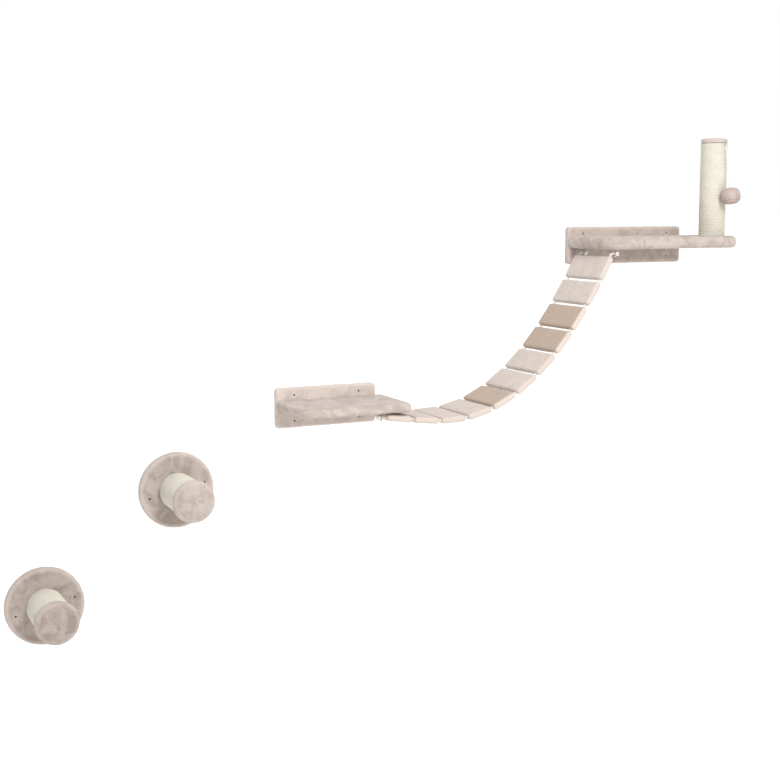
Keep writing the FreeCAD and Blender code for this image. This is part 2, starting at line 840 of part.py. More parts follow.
def make_toy(across, out, eye_height, shank_start, cap_radius, bearing):
    """The ball on its cord, hung from a screw eye in the post's cap. Drawn with X away from the
    post and Z up, the middle of the eye's ring at height zero."""
    eye = size("toy_eye_ring_radius")
    eye_wire = size("toy_eye_wire_diameter")
    ring = size("toy_ring_radius")
    ring_wire = size("toy_ring_wire_diameter")
    gap = size("fit_gap")
    ball_radius = size("toy_ball_width") / 2
    half_height = size("toy_ball_height") / 2
    drop = size("toy_drop")
    sisal = size("sisal_diameter")

    centre = cap_radius + float(eye + eye_wire / 2 + gap)
    loop = doc.addObject("Part::Torus", "loop")
    bind(loop, Radius1=eye, Radius2=eye_wire / 2)
    place(loop, centre, 0, 0, Rotation(Vector(1, 0, 0), 90))
    shank = rod(eye_wire, centre - eye - shank_start, shank_start, 0, 0, ALONG_X)
    eye_piece = keep("toy_eye", joined([loop, shank]))

    ring_middle = eye_wire / 2 + ring_wire / 2 + gap - eye - ring
    link = doc.addObject("Part::Torus", "link")
    bind(link, Radius1=ring, Radius2=ring_wire / 2)
    place(link, centre, 0, ring_middle, ALONG_X)
    ring_piece = keep("toy_ring", link)

    post_radius = float(size("post_tube_diameter") / 2 + gap + sisal)
    rest = post_radius + float(ball_radius + gap)
    lean = math.degrees(math.asin((rest - centre) / float(drop)))
    hang = Rotation(Vector(0, 1, 0), 180 - lean)
    pivot = Vector(centre, 0, float(ring_middle - ring))

    ball = doc.addObject("Part::Ellipsoid", "ball")
    bind(ball, Radius1=half_height, Radius2=ball_radius, Radius3=ball_radius)
    place(ball, 0, 0, drop)
    grip = size("toy_cord_grip")
    top = drop - half_height
    socket = rod(size("toy_cord_diameter") + 2 * gap, grip + gap, z=top)
    ball_piece = keep("toy_ball", cut(ball, [socket]))
    start = ring_wire / 2 + gap
    cord = keep("toy_cord", rod(size("toy_cord_diameter"), top + grip - start, z=start))

    frame = Placement(Vector(across, -out, eye_height), bearing)
    for piece in (eye_piece, ring_piece):
        piece.Placement = frame.multiply(piece.Placement)
    hung = frame.multiply(Placement(pivot, hang))
    ball_piece.Placement = hung
    cord.Placement = hung.multiply(cord.Placement)
    print(f"toy: leans {lean:.2f} degrees, pivot {frame.multVec(pivot)}")


def build():
    """Builds every piece in its place."""
    bars = []
    nuts = []
    for name in ("lower_step", "upper_step"):
        bar, nut = make_step(name, float(size(f"{name}_across")), float(size(f"{name}_up")))
        bars.append(bar)
        nuts.append(nut)
    keep("step_tie_rods", grouped(bars))
    keep("step_rod_nuts", grouped(nuts))

    ring_drop = float(size("eye_ring_drop"))
    lower_left = -float(size("lower_back_width")) / 2
    lower_right = float(size("lower_back_width") / 2 + of_shelf("lower", "overhang"))
    lower_underside = float(of_shelf("lower", "rise") - shelf_thickness("lower"))
    lower_ring = Vector(lower_right - float(size("lower_eye_inset")), 0, lower_underside - ring_drop)
    joints = bridge_joints(lower_ring + Vector(float(size("bridge_rope_lead")), 0, 0))
    bend = top_bend()
    top_lead = Vector(bend + float(size("bridge_rope_top_lead")), 0, 0)
    upper_ring = joints[0] + way_at(float(size(SLAT_TILTS[0]))) * bend + top_lead

    upper_left = upper_ring.x - float(size("upper_eye_inset"))
    upper_up = upper_ring.z + ring_drop - float(of_shelf("upper", "rise") - shelf_thickness("upper"))
    upper_middle = upper_left + float(size("upper_back_width")) / 2
    upper_right = upper_left + float(size("upper_back_width") + of_shelf("upper", "overhang"))
    inset = float(size("slat_setback") + size("bridge_rope_inset"))
    rope_outs = (inset + float(size("slat_width") - 2 * size("bridge_rope_inset")), inset)
    post_across = upper_right - float(size("post_end_inset"))
    post_out = float(size("post_reach"))

    make_back("lower", 0.0, 0.0)
    make_back("upper", upper_middle, upper_up)
    lower_eyes = [(lower_ring.x, out) for out in rope_outs]
    upper_eyes = [(upper_ring.x, out) for out in rope_outs]
    make_shelf("lower", lower_left, 0.0, lower_eyes)
    make_shelf("upper", upper_left, upper_up, upper_eyes, (post_across, post_out))
    screws = shelf_screws("lower", 0.0, 0.0)
    screws += shelf_screws("upper", upper_middle, upper_up)
    keep("shelf_screws", grouped(screws))

    eyes = [screw_eye(ring.x, out, ring.z) for ring in (lower_ring, upper_ring) for out in rope_outs]
    keep("rope_eyes", grouped(eyes))
    for name, out in zip(("front_rope", "rear_rope"), rope_outs):
        bridge_rope(name, out, joints, lower_ring, upper_ring)
    for number, alias in enumerate(SLAT_TILTS, start=1):
        middle = (joints[number - 1] + joints[number]) * 0.5
        make_slat(number, middle, float(size(alias)))

    board_top = upper_up + float(of_shelf("upper", "rise") - size("plush_thickness"))
    make_post(post_across, post_out, board_top)
    print("bridge joints", [(round(p.x, 2), round(p.z, 2)) for p in joints])
    print("upper back middle", round(upper_middle, 2), round(upper_up, 2))
    print("post", round(post_across, 2), -post_out)


def check():
    """Stops if any object failed or any piece is not a sound solid."""
    doc.recompute()
    for item in doc.Objects:
        if "Invalid" in item.State or "Error" in item.State:
            raise RuntimeError(f"{item.Label} failed: {item.State}")
    for label, item in nodes.items():
        shape = item.Shape
        if shape.isNull() or not shape.isValid() or not shape.Solids:
            raise RuntimeError(f"{label} has no sound solid")
        if any(solid.Volume <= 0 for solid in shape.Solids):
            raise RuntimeError(f"{label} has an empty solid")


build()
check()
os.makedirs("parts", exist_ok=True)
for label, item in nodes.items():
    item.Shape.exportStep(os.path.join("parts", label + ".step"))
print(f"{len(nodes)} pieces")
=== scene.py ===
import json
import logging
import math
from dataclasses import dataclass, field
from enum import Enum
from typing import Callable, Iterable, Sequence
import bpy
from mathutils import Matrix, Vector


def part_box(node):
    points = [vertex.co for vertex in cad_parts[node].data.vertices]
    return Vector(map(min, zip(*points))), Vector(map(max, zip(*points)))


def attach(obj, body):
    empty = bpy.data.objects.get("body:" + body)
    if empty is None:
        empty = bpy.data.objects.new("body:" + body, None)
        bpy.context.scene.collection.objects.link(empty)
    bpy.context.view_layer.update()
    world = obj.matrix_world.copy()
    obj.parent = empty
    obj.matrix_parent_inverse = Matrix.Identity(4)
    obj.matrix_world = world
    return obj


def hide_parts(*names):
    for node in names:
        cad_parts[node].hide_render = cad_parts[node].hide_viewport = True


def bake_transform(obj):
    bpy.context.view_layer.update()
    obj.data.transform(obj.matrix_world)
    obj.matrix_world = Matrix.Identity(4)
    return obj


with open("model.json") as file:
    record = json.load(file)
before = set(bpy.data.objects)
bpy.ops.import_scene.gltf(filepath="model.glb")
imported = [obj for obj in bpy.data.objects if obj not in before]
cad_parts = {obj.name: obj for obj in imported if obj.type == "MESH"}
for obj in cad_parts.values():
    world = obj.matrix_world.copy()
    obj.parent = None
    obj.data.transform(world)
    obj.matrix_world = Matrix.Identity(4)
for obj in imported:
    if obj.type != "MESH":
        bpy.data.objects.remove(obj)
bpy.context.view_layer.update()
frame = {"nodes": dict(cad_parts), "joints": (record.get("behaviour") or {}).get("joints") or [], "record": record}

import bl_math
import bmesh
import bpy
from mathutils import Matrix, Vector, noise

LOG = logging.getLogger("cat_climbing_wall")

ROOT = "wall_set"
PHOTO_WIDTH = 780
PHOTO_HEIGHT = 781
SENSOR_MM = 36.0

# The wall is the plane y = 0, and the set stands out from it towards -Y.
UP = Vector((0.0, 0.0, 1.0))
INTO_WALL = Vector((0.0, 1.0, 0.0))
# Turns Z out of the wall and Y up.
QUARTER_TURN = Matrix.Rotation(math.radians(90.0), 4, "X")

# Points nearer than this are one point.
TOUCH = 1e-6
# A direction with at least this share of an axis runs along it.
LEANING = 0.5

# The attribute that holds a piece's tone, mottle and edge share; the edge share paints a highlight on rounded
# rims, paints shade in the toy's seams and marks the slats' end fabric.
PILE = "pile"
# How far in from a rim its painted highlight, partly the pile opening there, is strongest, and where it is plain
# again.
RIM_PALE = 0.004
RIM_PLAIN = 0.013

# Bevel steps of a round cord, and the order of a smooth spline.
CORD_STEPS = 3
SMOOTH_ORDER = 3

# Sockets of a Mix node for colours, whose names are those of its other modes too.
MIX_SHARE = 0
MIX_FIRST = 6
MIX_SECOND = 7
MIX_RESULT = 2

Colour = tuple[float, float, float, float]
Triple = tuple[float, float, float]
Band = tuple[float, float]
Socket = bpy.types.NodeSocket


class Slot(Enum):
    """The record's material slots."""

    PLUSH_LIGHT = "plush_light"
    PLUSH_TAN = "plush_tan"
    SISAL = "sisal"
    FIBREBOARD = "fibreboard"
    CARDBOARD = "cardboard"
    STEEL = "zinc_steel"
    BRIDGE_ROPE = "bridge_rope"
    TOY_CORD = "toy_cord"
    TOY_PLUSH = "toy_plush"


@dataclass(frozen=True)
class Cloud:
    """A cloudy pattern: features per metre, octaves, swirl and the band of its values that is used."""

    scale: float
    octaves: float = 2.0
    swirl: float = 0.0
    band: Band = (0.0, 1.0)


class Signal:
    """A number that varies over a surface, with the arithmetic that shader maths needs."""

    def __init__(self, board: "Board", socket: Socket) -> None:
        """Wraps a socket of a board's node tree."""
        self.board = board
        self.socket = socket

    def maths(self, operation: str, *values: object) -> "Signal":
        """Adds a Math node.

        Args:
            operation: the Math node's operation.
            values: its inputs, in order.

        Returns:
            The node's output.
        """
        node = self.board.node("ShaderNodeMath", {"operation": operation}, dict(enumerate(values)))
        return Signal(self.board, node.outputs[0])

    def __add__(self, other: object) -> "Signal":
        """Sum."""
        return self.maths("ADD", self, other)

    def __radd__(self, other: object) -> "Signal":
        """Sum with the number first."""
        return self.maths("ADD", other, self)

    def __sub__(self, other: object) -> "Signal":
        """Difference."""
        return self.maths("SUBTRACT", self, other)

    def __rsub__(self, other: object) -> "Signal":
        """Difference with the number first."""
        return self.maths("SUBTRACT", other, self)

    def __mul__(self, other: object) -> "Signal":
        """Product."""
        return self.maths("MULTIPLY", self, other)

    def __rmul__(self, other: object) -> "Signal":
        """Product with the number first."""
        return self.maths("MULTIPLY", other, self)

    def __pow__(self, other: object) -> "Signal":
        """Power."""
        return self.maths("POWER", self, other)

    def __abs__(self) -> "Signal":
        """Size without its sign."""
        return self.maths("ABSOLUTE", self)

    def sine(self) -> "Signal":
        """Sine of the value in radians."""
        return self.maths("SINE", self)

    def within(self, low: float, high: float) -> "Signal":
        """The value held between two bounds."""
        return self.maths("MINIMUM", self.maths("MAXIMUM", self, low), high)


class Board:
    """The nodes of one material or of the surroundings, made through one method."""

    def __init__(self, owner: bpy.types.Material | bpy.types.World) -> None:
        """Starts with no nodes.

        Args:
            owner: the material or the surroundings.
        """
        self.owner = owner
        owner.use_nodes = True
        self.tree = owner.node_tree
        self.tree.nodes.clear()

    def node(
        self, kind: str, settings: dict[str, object], inputs: dict[str | int, object]
    ) -> bpy.types.Node:
        """Adds a node.

        Args:
            kind: the node's type.
            settings: its properties, set first.
            inputs: values or links of its sockets, by name or number.

        Returns:
            The new node.
        """
        made = self.tree.nodes.new(kind)
        for key, value in settings.items():
            setattr(made, key, value)
        for key, value in inputs.items():
            if isinstance(value, Signal):
                self.tree.links.new(value.socket, made.inputs[key])
            elif isinstance(value, Socket):
                self.tree.links.new(value, made.inputs[key])
            else:
                made.inputs[key].default_value = value
        return made

    def coordinates(self, kind: str) -> Socket:
        """One output of a Texture Coordinate node."""
        return self.node("ShaderNodeTexCoord", {}, {}).outputs[kind]

    def axes(self, where: Socket) -> tuple[Signal, ...]:
        """The three parts of a coordinate."""
        parts = self.node("ShaderNodeSeparateXYZ", {}, {0: where}).outputs
        return tuple(Signal(self, part) for part in parts)

    def pile(self) -> tuple[Signal, ...]:
        """Reads a piece's own pile attribute.

        Returns:
            Its tone, mottle and edge.
        """
        settings = {"attribute_type": "GEOMETRY", "attribute_name": PILE}
        colour = self.node("ShaderNodeAttribute", settings, {}).outputs["Color"]
        parts = self.node("ShaderNodeSeparateColor", {}, {0: colour}).outputs
        return tuple(Signal(self, part) for part in parts)

    def noise(self, where: Socket, cloud: Cloud) -> Signal:
        """A cloud's pattern over some coordinates, from 0 to 1."""
        inputs = {"Vector": where, "Scale": cloud.scale, "Detail": cloud.octaves, "Distortion": cloud.swirl}
        return Signal(self, self.node("ShaderNodeTexNoise", {}, inputs).outputs[0])

    def ramp(self, value: Signal, low: float, high: float) -> Signal:
        """Stretches a pattern smoothly.

        Args:
            value: the pattern.
            low: what becomes 0.
            high: what becomes 1.

        Returns:
            The stretched pattern.
        """
        inputs = {"Value": value, "From Min": low, "From Max": high}
        node = self.node("ShaderNodeMapRange", {"interpolation_type": "SMOOTHSTEP"}, inputs)
        return Signal(self, node.outputs[0])

    def blend(self, share: object, first: object, second: object) -> Socket:
        """Mixes two colours by a share."""
        inputs = {MIX_SHARE: share, MIX_FIRST: first, MIX_SECOND: second}
        return self.node("ShaderNodeMix", {"data_type": "RGBA"}, inputs).outputs[MIX_RESULT]

    def tinted(self, colour: object, shade: Signal) -> Socket:
        """Multiplies a colour by a grey.

        Args:
            colour: the colour.
            shade: the grey's value.

        Returns:
            The product.
        """
        grey = self.node("ShaderNodeCombineColor", {}, {0: shade, 1: shade, 2: shade}).outputs[0]
        settings = {"data_type": "RGBA", "blend_type": "MULTIPLY"}
        inputs = {MIX_SHARE: 1.0, MIX_FIRST: colour, MIX_SECOND: grey}
        return self.node("ShaderNodeMix", settings, inputs).outputs[MIX_RESULT]

    def raised(self, height: Signal, distance: float, strength: float) -> Socket:
        """A bump normal from a height pattern."""
        inputs = {"Strength": strength, "Distance": distance, "Height": height}
        return self.node("ShaderNodeBump", {}, inputs).outputs[0]

    def surface(self, inputs: dict[str | int, object]) -> bpy.types.Material:
        """Ends the material in a Principled shader.

        Args:
            inputs: the shader's sockets.

        Returns:
            The finished material.
        """
        shader = self.node("ShaderNodeBsdfPrincipled", {}, inputs)
        self.node("ShaderNodeOutputMaterial", {}, {"Surface": shader.outputs[0]})
        return self.owner


@dataclass(frozen=True)
class Plush:
    """Short-pile plush: crushed and brushed patches over a fine nap."""

    name: str
    light: Colour
    dark: Colour
    blush: Colour
    # edge: the colour that the edge share blends to: the painted rim highlight and slat end fabric of the light
    # plush, the slat end fabric of the tan plush, the painted seam shade of the toy.
    edge: Colour
    patches: Cloud = Cloud(scale=26.0, octaves=3.0, swirl=0.9, band=(0.38, 0.64))
    blushes: Cloud = Cloud(scale=9.0, swirl=0.4, band=(0.45, 0.7))
    nap: Cloud = Cloud(scale=330.0, swirl=0.3)
    fibre: Cloud = Cloud(scale=1100.0, octaves=1.0)
    blush_share: float = 0.6
    nap_shade: float = 0.78
    nap_gain: float = 0.42
    nap_height: float = 0.7
    fibre_height: float = 0.3

    def material(self) -> bpy.types.Material:
        """Builds the finish.

        Returns:
            The material.
        """
        board = Board(bpy.data.materials.new(self.name))
        where = board.coordinates("Object")
        bright, mottle, edge = board.pile()
        patch = board.ramp(board.noise(where, self.patches), *self.patches.band)
        warm = board.ramp(board.noise(where, self.blushes), *self.blushes.band)
        nap = board.noise(where, self.nap)
        fibre = board.noise(where, self.fibre)
        share = ((patch - 0.5) * mottle + (1.0 - bright)).within(0.0, 1.0)
        tone = board.blend(share, self.light, self.dark)
        tone = board.blend(warm * mottle * self.blush_share, tone, self.blush)
        # Blends to the edge colour: painted highlight on rounded rims, painted shade in the toy's seams, and the
        # slats' own end fabric.
        tone = board.blend(edge, tone, self.edge)
        tone = board.tinted(tone, self.nap_shade + self.nap_gain * nap)
        height = self.nap_height * nap + self.fibre_height * fibre
        return board.surface({
            "Base Color": tone,
            "Roughness": 0.95,
            "Specular IOR Level": 0.2,
            "Sheen Weight": 0.12,
            "Sheen Roughness": 0.6,
            "Normal": board.raised(height, distance=0.0012, strength=0.55),
        })


@dataclass(frozen=True)
class TwistedCord:
    """Cord laid from strands; U runs along it in metres and V once round it."""

    name: str
    light: Colour
    dark: Colour
    strands: float
    lay: float
    fibre: Cloud = Cloud(scale=900.0, swirl=0.6)
    drift: Cloud = Cloud(scale=34.0, octaves=3.0)
    roundness: float = 0.6
    groove_shade: Band = (0.1, 0.8)
    shade: float = 0.74
    drift_gain: float = 0.2
    fibre_gain: float = 0.14
    bright_gain: float = 0.16
    strand_height: float = 0.75
    fibre_height: float = 0.25

    def material(self) -> bpy.types.Material:
        """Builds the finish.

        Returns:
            The material.
        """
        board = Board(bpy.data.materials.new(self.name))
        along, around, _ = board.axes(board.coordinates("UV"))
        where = board.coordinates("Object")
        fibre = board.noise(where, self.fibre)
        drift = board.noise(where, self.drift)
        bright, _, _ = board.pile()
        phase = (around * self.strands + along * (1.0 / self.lay)) * math.pi
        strand = abs(phase.sine()) ** self.roundness
        # Between the strands the cord is painted darker: painted shade.
        tone = board.blend(board.ramp(strand, *self.groove_shade), self.dark, self.light)
        shade = self.shade + self.drift_gain * drift + self.fibre_gain * fibre + self.bright_gain * bright
        height = self.strand_height * strand + self.fibre_height * fibre
        return board.surface({
            "Base Color": board.tinted(tone, shade),
            "Roughness": 0.85,
            "Specular IOR Level": 0.25,
            "Normal": board.raised(height, distance=0.0007, strength=0.6),
        })


@dataclass(frozen=True)
class PlainCord:
    """Thin cord, or rope whose strands are modelled, with a fibrous surface."""

    name: str
    light: Colour
    dark: Colour
    fibre: Cloud = Cloud(scale=1300.0, swirl=1.2)
    drift: Cloud = Cloud(scale=70.0, band=(0.35, 0.7))
    shade: float = 0.8
    fibre_gain: float = 0.35

    def material(self) -> bpy.types.Material:
        """Builds the finish.

        Returns:
            The material.
        """
        board = Board(bpy.data.materials.new(self.name))
        where = board.coordinates("Object")
        fibre = board.noise(where, self.fibre)
        drift = board.ramp(board.noise(where, self.drift), *self.drift.band)
        tone = board.blend(drift, self.light, self.dark)
        return board.surface({
            "Base Color": board.tinted(tone, self.shade + self.fibre_gain * fibre),
            "Roughness": 0.85,
            "Specular IOR Level": 0.25,
            "Normal": board.raised(fibre, distance=0.0004, strength=0.6),
        })


@dataclass(frozen=True)
class PressedFibre:
    """Fibreboard or cardboard: fine flecks and a slow drift of tone."""

    name: str
    light: Colour
    dark: Colour
    fleck: Cloud
    drift: Cloud = Cloud(scale=14.0, octaves=3.0)
    shade: float = 0.85
    drift_gain: float = 0.3
    smoothest: float = 0.7
    fleck_gain: float = 0.2

    def material(self) -> bpy.types.Material:
        """Builds the finish.

        Returns:
            The material.
        """
        board = Board(bpy.data.materials.new(self.name))
        where = board.coordinates("Object")
        fleck = board.noise(where, self.fleck)
        drift = board.noise(where, self.drift)
        tone = board.blend(board.ramp(fleck, *self.fleck.band), self.light, self.dark)
        return board.surface({
            "Base Color": board.tinted(tone, self.shade + self.drift_gain * drift),
            "Roughness": self.smoothest + self.fleck_gain * fleck,
            "Normal": board.raised(fleck, distance=0.0003, strength=0.3),
        })


@dataclass(frozen=True)
class ZincSteel:
    """Zinc-plated steel: a dull spangle and fine drawing marks."""

    name: str
    light: Colour
    dark: Colour
    spangle: Cloud = Cloud(scale=420.0, octaves=3.0, swirl=0.5, band=(0.4, 0.65))
    marks: Cloud = Cloud(scale=2200.0, octaves=1.0)
    smoothest: float = 0.28
    spangle_gain: float = 0.25

    def material(self) -> bpy.types.Material:
        """Builds the finish.

        Returns:
            The material.
        """
        board = Board(bpy.data.materials.new(self.name))
        where = board.coordinates("Object")
        spangle = board.noise(where, self.spangle)
        marks = board.noise(where, self.marks)
        return board.surface({
            "Base Color": board.blend(board.ramp(spangle, *self.spangle.band), self.light, self.dark),
            "Metallic": 1.0,
            "Roughness": self.smoothest + self.spangle_gain * spangle,
            "Normal": board.raised(marks, distance=0.0001, strength=0.25),
        })


@dataclass(frozen=True)
class StudioPaper:
    """The pale floor: plain matt paper, faintly lit from within so that it stays white."""

    name: str
    glow: float

    def material(self) -> bpy.types.Material:
        """Builds the finish.

        Returns:
            The material.
        """
        board = Board(bpy.data.materials.new(self.name))
        return board.surface({
            "Base Color": (0.8, 0.8, 0.8, 1.0),
            "Roughness": 1.0,
            "Specular IOR Level": 0.0,
            "Emission Color": (1.0, 1.0, 1.0, 1.0),
            "Emission Strength": self.glow,
        })


Finish = Plush | TwistedCord | PlainCord | PressedFibre | ZincSteel

FINISHES: dict[Slot, Finish] = {
    Slot.PLUSH_LIGHT: Plush(
        "beige_plush",
        light=(0.61, 0.535, 0.485, 1.0),
        dark=(0.28, 0.228, 0.196, 1.0),
        blush=(0.5, 0.41, 0.375, 1.0),
        # edge: painted highlight on rounded rims, partly pile opening, and the light slats' end fabric.
        edge=(0.56, 0.48, 0.43, 1.0),
    ),
    Slot.PLUSH_TAN: Plush(
        "tan_plush",
        light=(0.44, 0.343, 0.275, 1.0),
        dark=(0.33, 0.248, 0.184, 1.0),
        blush=(0.42, 0.322, 0.257, 1.0),
        edge=(0.58, 0.5, 0.445, 1.0),
    ),
    Slot.TOY_PLUSH: Plush(
        "toy_plush",
        light=(0.5, 0.415, 0.385, 1.0),
        dark=(0.36, 0.29, 0.26, 1.0),
        blush=(0.46, 0.365, 0.34, 1.0),
        # edge: painted shade in the ball's seams.
        edge=(0.31, 0.24, 0.215, 1.0),
    ),
    Slot.SISAL: TwistedCord(
        "sisal_cord",
        light=(0.68, 0.645, 0.555, 1.0),
        # dark: painted shade between the strands.
        dark=(0.55, 0.51, 0.42, 1.0),
        strands=3.0,
        lay=0.008,
    ),
    Slot.BRIDGE_ROPE: PlainCord(
        "cotton_rope", light=(0.75, 0.69, 0.62, 1.0), dark=(0.64, 0.58, 0.5, 1.0)
    ),
    Slot.TOY_CORD: PlainCord(
        "toy_cord", light=(0.78, 0.75, 0.68, 1.0), dark=(0.68, 0.64, 0.57, 1.0)
    ),
    Slot.FIBREBOARD: PressedFibre(
        "fibreboard",
        light=(0.42, 0.3, 0.19, 1.0),
        dark=(0.29, 0.2, 0.12, 1.0),
        fleck=Cloud(scale=700.0, octaves=4.0, swirl=0.8, band=(0.35, 0.7)),
    ),
    Slot.CARDBOARD: PressedFibre(
        "pressed_card",
        light=(0.45, 0.34, 0.23, 1.0),
        dark=(0.36, 0.26, 0.17, 1.0),
        fleck=Cloud(scale=300.0, octaves=4.0, swirl=0.8, band=(0.35, 0.7)),
    ),
    Slot.STEEL: ZincSteel(
        "zinc_steel", light=(0.62, 0.62, 0.63, 1.0), dark=(0.45, 0.45, 0.47, 1.0)
    ),
}


class Wardrobe:
    """The finished materials, one for each slot."""

    def __init__(self) -> None:
        """Builds every finish once."""
        self.materials = {slot: finish.material() for slot, finish in FINISHES.items()}

    def dress(self, item: bpy.types.Object, slot: Slot) -> None:
        """Gives an object one material."""
        item.data.materials.clear()
        item.data.materials.append(self.materials[slot])

    def dress_solids(self) -> None:
        """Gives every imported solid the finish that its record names."""
        for row in frame["record"]["subparts"]:
            self.dress(frame["nodes"][row["node"]], Slot(row["material_slot"]))


def middle_of(node: str) -> Vector:
    """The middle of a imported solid's box."""
    low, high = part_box(node)
    return (low + high) / 2


def hinge_point(joint: str) -> Vector:
    """Where a joint of the record turns."""
    return Vector(next(row["pos_m"] for row in frame["joints"] if row["name"] == joint))


def upright_along(way: Vector) -> Matrix:
    """Turns Z to a direction."""
    return UP.rotation_difference(way).to_matrix().to_4x4()


def aimed_along(way: Vector) -> Matrix:
    """Turns a camera or a lamp to look in a direction."""
    return way.to_track_quat("-Z", "Y").to_matrix().to_4x4()


def linked(name: str, data: bpy.types.ID) -> bpy.types.Object:
    """Makes an object and puts it in the scene.

    Args:
        name: its name.
        data: its mesh, curve, camera or light.

    Returns:
        The object.
    """
    item = bpy.data.objects.new(name, data)
    bpy.context.scene.collection.objects.link(item)
    return item


def smooth_line(name: str, points: Sequence[Vector], resolution: int) -> bpy.types.Curve:
    """Makes a curve of one smooth open spline.

    Args:
        name: its name.
        points: its control points.
        resolution: steps from one control point to the next.

    Returns:
        The curve.
    """
    curve = bpy.data.curves.new(name, "CURVE")
    curve.dimensions = "3D"
    curve.resolution_u = resolution
    spline = curve.splines.new("NURBS")
    spline.points.add(len(points) - 1)
    for target, place in zip(spline.points, points):
        target.co = (*place, 1.0)
    spline.order_u = SMOOTH_ORDER
    spline.use_endpoint_u = True
    return curve


def thicken(curve: bpy.types.Curve, radius: float) -> None:
    """Gives a curve a round section and closed ends.

    Args:
        curve: the curve.
        radius: the section's radius.
    """
    curve.bevel_depth = radius
    curve.bevel_resolution = CORD_STEPS
    curve.use_fill_caps = True


def meshed(curve: bpy.types.Curve) -> bpy.types.Mesh:
    """Turns a curve into mesh data.

    Args:
        curve: the curve, which is let go of.

    Returns:
        The mesh data.
    """
    item = bpy.data.objects.new(curve.name, curve)
    mesh = bpy.data.meshes.new_from_object(item)
    bpy.data.objects.remove(item)
    bpy.data.curves.remove(curve)
    return mesh


@dataclass(frozen=True)
class Nap:
    """How plush stands off its backing: tufts with finer tips, over slightly uneven padding."""

    tuft: float = 0.0065
    tip: float = 0.0028
    padding: float = 0.045
    tuft_share: float = 0.55
    tip_share: float = 0.45
    lift: float = 0.1
    unevenness: float = 0.0005
    spread: Triple = (1.0, -2.0, 0.5)

    def rise(self, place: Vector, pile: float, seed: float) -> float:
        """Reads the nap at a place.

        Args:
            place: the place.
            pile: height of the tufts.
            seed: where the pattern is read, so that no two pieces match.

        Returns:
            How far the skin is pushed out.
        """
        away = Vector(self.spread) * seed
        tuft = noise.noise(place / self.tuft + away)
        tip = noise.noise(place / self.tip - away)
        soft = noise.noise(place / self.padding + away)
        return pile * (self.tuft_share * tuft + self.tip_share * tip + self.lift) + self.unevenness * soft


class Shape:
    """A mesh in the making, drawn about its own origin."""

    def __init__(self) -> None:
        """Starts empty."""
        self.form = bmesh.new()

    def block(self, size: Vector) -> "Shape":
        """Starts from a block about the origin.

        Args:
            size: its sides.

        Returns:
            This shape.
        """
        bmesh.ops.create_cube(self.form, size=1.0)
        bmesh.ops.scale(self.form, vec=size, verts=self.form.verts)
        return self

    def disc(self, radius: float, foot: float, top: float) -> "Shape":
        """Starts from a round disc about Z.

        Args:
            radius: its radius.
            foot: height of its lower face.
            top: height of its upper face.

        Returns:
            This shape.
        """
        bmesh.ops.create_cone(
            self.form, cap_ends=True, segments=96, radius1=radius, radius2=radius, depth=top - foot
        )
        bmesh.ops.translate(self.form, vec=UP * (foot + top) / 2, verts=self.form.verts)
        return self

    def ball(self, radius: float, squash: float) -> "Shape":
        """Starts from a ball that is flattened along Z.

        Args:
            radius: its radius.
            squash: its height as a share of its width.

        Returns:
            This shape.
        """
        bmesh.ops.create_icosphere(self.form, subdivisions=4, radius=radius)
        bmesh.ops.scale(self.form, vec=(1.0, 1.0, squash), verts=self.form.verts)
        return self

    def rounded(
        self, wanted: Callable[[bmesh.types.BMEdge], bool], radius: float, segments: int
    ) -> "Shape":
        """Rounds the edges that a test picks out.

        Args:
            wanted: the test.
            radius: the rounding.
            segments: its steps.

        Returns:
            This shape.
        """
        edges = [edge for edge in self.form.edges if wanted(edge)]
        bmesh.ops.bevel(
            self.form, geom=edges, offset=radius, offset_type="OFFSET", segments=segments,
            profile=0.5, affect="EDGES", material=-1, clamp_overlap=True,
        )
        return self

    def skinned(self, voxel: float) -> "Shape":
        """Remeshes the form into an even skin.

        Args:
            voxel: the skin's step.

        Returns:
            This shape.
        """
        mesh = bpy.data.meshes.new("form")
        self.form.to_mesh(mesh)
        self.form.free()
        item = linked("form", mesh)
        remesh = item.modifiers.new("skin", "REMESH")
        remesh.mode = "VOXEL"
        remesh.voxel_size = voxel
        graph = bpy.context.evaluated_depsgraph_get()
        skin = bpy.data.meshes.new_from_object(item.evaluated_get(graph))
        self.form = bmesh.new()
        self.form.from_mesh(skin)
        bpy.data.objects.remove(item)
        bpy.data.meshes.remove(mesh)
        bpy.data.meshes.remove(skin)
        return self

    def moved(self, shift: Callable[[Vector, Vector], Vector]) -> "Shape":
        """Moves every point.

        Args:
            shift: how far, from a point's place and normal.

        Returns:
            This shape.
        """
        self.form.normal_update()
        shifts = [shift(point.co, point.normal) for point in self.form.verts]
        for point, step in zip(self.form.verts, shifts):
            point.co += step
        return self

    def napped(self, pile: float, seed: float, hem: float = -math.inf) -> "Shape":
        """Roughens the skin into tufts of pile.

        Args:
            pile: height of the tufts.
            seed: where the pattern is read.
            hem: height up to which the skin stays flat.

        Returns:
            This shape.
        """
        nap = Nap()
        return self.moved(
            lambda place, normal: normal * nap.rise(place, pile, seed) if place.z >= hem else Vector()
        )

    def dyed(self, rule: Callable[[Vector], Triple]) -> "Shape":
        """Writes the pile attribute.

        Args:
            rule: tone, mottle and edge at a point's place.

        Returns:
            This shape.
        """
        layer = self.form.verts.layers.float_color.new(PILE)
        for point in self.form.verts:
            point[layer] = (*rule(point.co), 1.0)
        return self

    def placed(self, place: Matrix) -> "Shape":
        """Puts the shape in its place."""
        bmesh.ops.transform(self.form, matrix=place, verts=self.form.verts)
        return self

    def finished(self, name: str) -> bpy.types.Object:
        """Ends the shape as a smooth object at the origin.

        Args:
            name: the object's name.

        Returns:
            The object.
        """
        for face in self.form.faces:
            face.smooth = True
        data = bpy.data.meshes.new(name)
        self.form.to_mesh(data)
        self.form.free()
        return linked(name, data)


